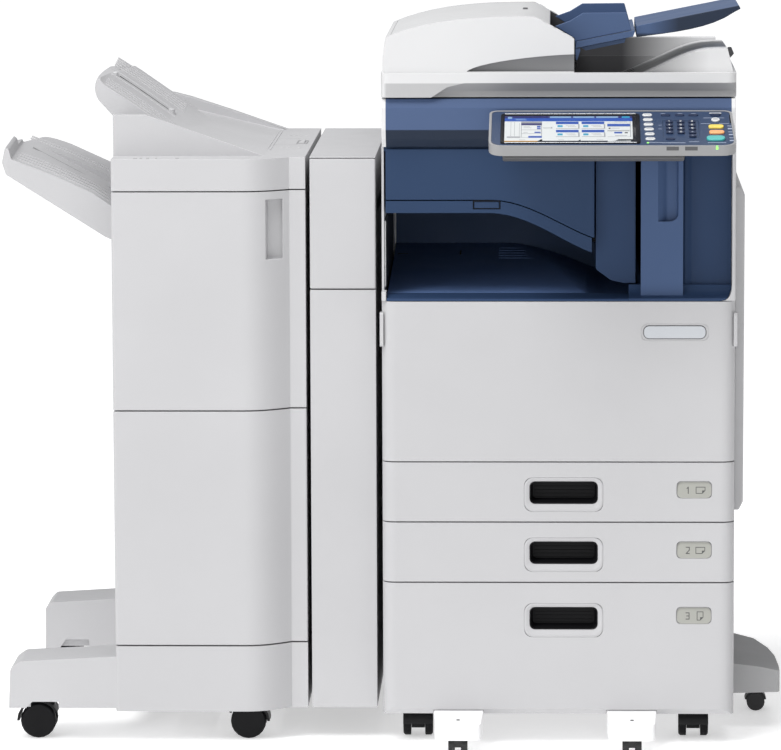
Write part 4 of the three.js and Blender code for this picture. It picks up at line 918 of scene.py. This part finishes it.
def side_details():
    piece("duplex_door_lever", DARK_GREY, right_at(DUPLEX_FACE), "duplex_door", [
        cup(pill(280, 360, 850, 880, 8), pill(283, 357, 853, 877, 6), pill(287, 353, 857, 875, 5), -0.4, 1.2,
            -0.1)], 0.3)
    piece("duplex_door_lines", SHELL_SHADE, right_at(DUPLEX_FACE), "duplex_door", [
        bar(90, 520, 760, 762, -0.4, 0.25), bar(90, 520, 812, 814, -0.4, 0.25)], 0.1)
    piece("side_vents", DARK_GREY, right_at(ENGINE_SIDE), "main", [
        bar(90, 280, 330 + 9 * k, 334 + 9 * k, -0.3, 0.3) for k in range(4)], 0.1)
    piece("left_vents", DARK_GREY, MACHINE, "main", [
        bar(-294.3, -293.8, 330, 520, 900 + 10 * k, 904 + 10 * k) for k in range(6)], 0.0)
    piece("power_switch_frame", GREY, right_at(ENGINE_SIDE), "main", [
        band(pill(330, 366, 330, 372, 5), pill(335, 361, 335, 367, 3), -0.3, 1.2)], 0.3)
    piece("power_switch", BLACK, right_at(ENGINE_SIDE), "main", [
        ([*levels(pill(335.6, 360.4, 335.6, 366.4, 2.5), -0.3, 1.0),
          at(pill(337, 359, 337, 351, 2), 2.2)], False)], 0.3)


def back_details():
    rear = back_at(ENGINE_REAR)
    piece("inlet_socket", BLACK, rear, "main", [
        cup(pill(181, 229, 321, 349, 5), pill(184, 226, 324, 346, 4), pill(187, 223, 327, 343, 3), -8, 1.2,
            -7)], 0.3)
    piece("inlet_pins", STEEL, rear, "main",
          [bar(x - 1.5, x + 1.5, 331, 339, -7.5, -1.5) for x in (196, 205, 214)], 0.2)
    piece("rear_port_plate", STEEL, rear, "main", [prism(pill(90, 260, 400, 470, 4), -0.3, 0.9)], 0.2)
    piece("rear_ports", BLACK, rear, "main", [
        cup(pill(x, x + w, 420, 420 + h, 1), pill(x + 1, x + w - 1, 421, 419 + h, 0.8),
            pill(x + 1.5, x + w - 1.5, 421.5, 418.5 + h, 0.6), 0.5, 1.8, 1.0)
        for x, w, h in ((104, 16, 14), (132, 12, 12), (156, 16, 14), (186, 20, 9), (220, 20, 9))], 0.1)
    piece("rear_vent_lining", BLACK, rear, "main", [bar(-222, -58, 816, 948, -8, -5)], 0.2)
    piece("rear_screws", STEEL, rear, "main", [
        turned([(4, -0.3), (4, 0.8), (3, 1.4)], x, z, 16) for x in (-280, 280) for z in (300, 520, 740, 980)],
        0.2)
    piece("rear_panel_line", SHELL_SHADE, rear, "main", [bar(-290, 290, 640, 641.6, -0.3, 0.2)], 0.0)
    piece("finisher_rear_vents", DARK_GREY, back_at(FINISHER_REAR), "main", [
        bar(-700, -600, 300 + 12 * k, 305 + 12 * k, -0.3, 0.4) for k in range(8)], 0.1)
    piece("finisher_rear_screws", STEEL, back_at(FINISHER_REAR), "main", [
        turned([(4, -0.3), (4, 0.8), (3, 1.4)], x, z, 16) for x in (-730, -436) for z in (190, 540, 900)],
        0.2)


def foot_details():
    for name, x in (("left", -167), ("right", 123)):
        piece("foot_screw_" + name, DARK_GREY, MACHINE, "main",
              [turned([(3.4, 49), (3.4, 51), (2.6, 51.6)], x, -48, 16)], 0.2)


inside_details()
side_details()
back_details()
foot_details()

# ------------------------------------------------------------------ camera, light and floor
EYE = MACHINE @ Vector((0, -8600, 1726.85))
PAN, DOWN, ROLL = 1.86, 7.296, -0.218  # degrees
cam_data = bpy.data.cameras.new("camera")
cam_data.sensor_width = 36
cam_data.lens = 240.16
cam_data.clip_end = 200
camera = bpy.data.objects.new("camera", cam_data)
camera.matrix_world = (Matrix.Translation(EYE) @ Matrix.Rotation(math.radians(PAN), 4, "Z")
                       @ Matrix.Rotation(math.radians(90 - DOWN), 4,
                                         "X") @ Matrix.Rotation(math.radians(ROLL), 4, "Z"))
bpy.context.scene.collection.objects.link(camera)
bpy.context.scene.camera = camera
bpy.context.scene.view_settings.view_transform = "Standard"
bpy.context.scene.view_settings.look = "None"


def make_floor():
    mesh = bpy.data.meshes.new("floor")
    s = 70
    mesh.from_pydata([(-s, -s, 0), (s, -s, 0), (s, s, 0), (-s, s, 0)], [], [(0, 1, 2, 3)])
    floor = bpy.data.objects.new("floor", mesh)
    bpy.context.scene.collection.objects.link(floor)
    mat, tree, shader = node_tree("floor_pale")
    coords = tree.nodes.new("ShaderNodeTexCoord").outputs["Object"]
    link(tree, ramp(tree, noise(tree, coords, 0.7, 2), 0.3, 0.7, (0.79, 0.79, 0.79), (0.8, 0.8, 0.8)),
         shader.inputs["Base Color"])
    shader.inputs["Roughness"].default_value = 0.8
    shader.inputs["Specular IOR Level"].default_value = 0.1
    shader.inputs["Emission Color"].default_value = (1, 1, 1, 1)
    shader.inputs["Emission Strength"].default_value = 0.45
    mesh.materials.append(mat)


def sun(name, towards, strength, angle):
    data = bpy.data.lights.new(name, "SUN")
    data.energy = strength
    data.angle = math.radians(angle)
    obj = bpy.data.objects.new(name, data)
    obj.matrix_world = Vector(towards).to_track_quat("Z", "Y").to_matrix().to_4x4()
    bpy.context.scene.collection.objects.link(obj)


def softbox(name, place, aim, size, energy):
    data = bpy.data.lights.new(name, "AREA")
    data.shape = "RECTANGLE"
    data.size, data.size_y = size
    data.energy = energy
    obj = bpy.data.objects.new(name, data)
    where = MACHINE @ Vector(place)
    obj.matrix_world = Matrix.Translation(where) @ (where - MACHINE @ Vector(aim)).to_track_quat(
        "Z", "Y").to_matrix().to_4x4()
    bpy.context.scene.collection.objects.link(obj)


def make_world():
    """Pale surroundings, dimmer towards +X, so that right-hand faces fall into shade."""
    world = bpy.data.worlds.new("studio")
    bpy.context.scene.world = world
    world.use_nodes = True
    tree = world.node_tree
    back = tree.nodes["Background"]
    coords = tree.nodes.new("ShaderNodeTexCoord").outputs["Generated"]
    split = tree.nodes.new("ShaderNodeSeparateXYZ")
    link(tree, coords, split.inputs["Vector"])
    side = tree.nodes.new("ShaderNodeMapRange")
    side.inputs["From Min"].default_value = -0.2
    side.inputs["From Max"].default_value = 0.8
    link(tree, split.outputs["X"], side.inputs["Value"])
    link(tree, ramp(tree, side.outputs["Result"], 0, 1, (0.98, 0.99, 1.0), (0.2, 0.2, 0.21)),
         back.inputs["Color"])
    back.inputs["Strength"].default_value = 0.5


make_floor()
make_world()
sun("key", (-0.42, -0.5, 0.9), 1.6, 28)
softbox("left_strip", (-2600, -2600, 1900), (-200, 100, 700), (1.2, 2.6), 16)
softbox("top_box", (0, -600, 3600), (0, 200, 900), (3.0, 1.6), 54)
softbox("front_fill", (-300, -6500, 1500), (-250, 0, 650), (5.0, 2.6), 63)
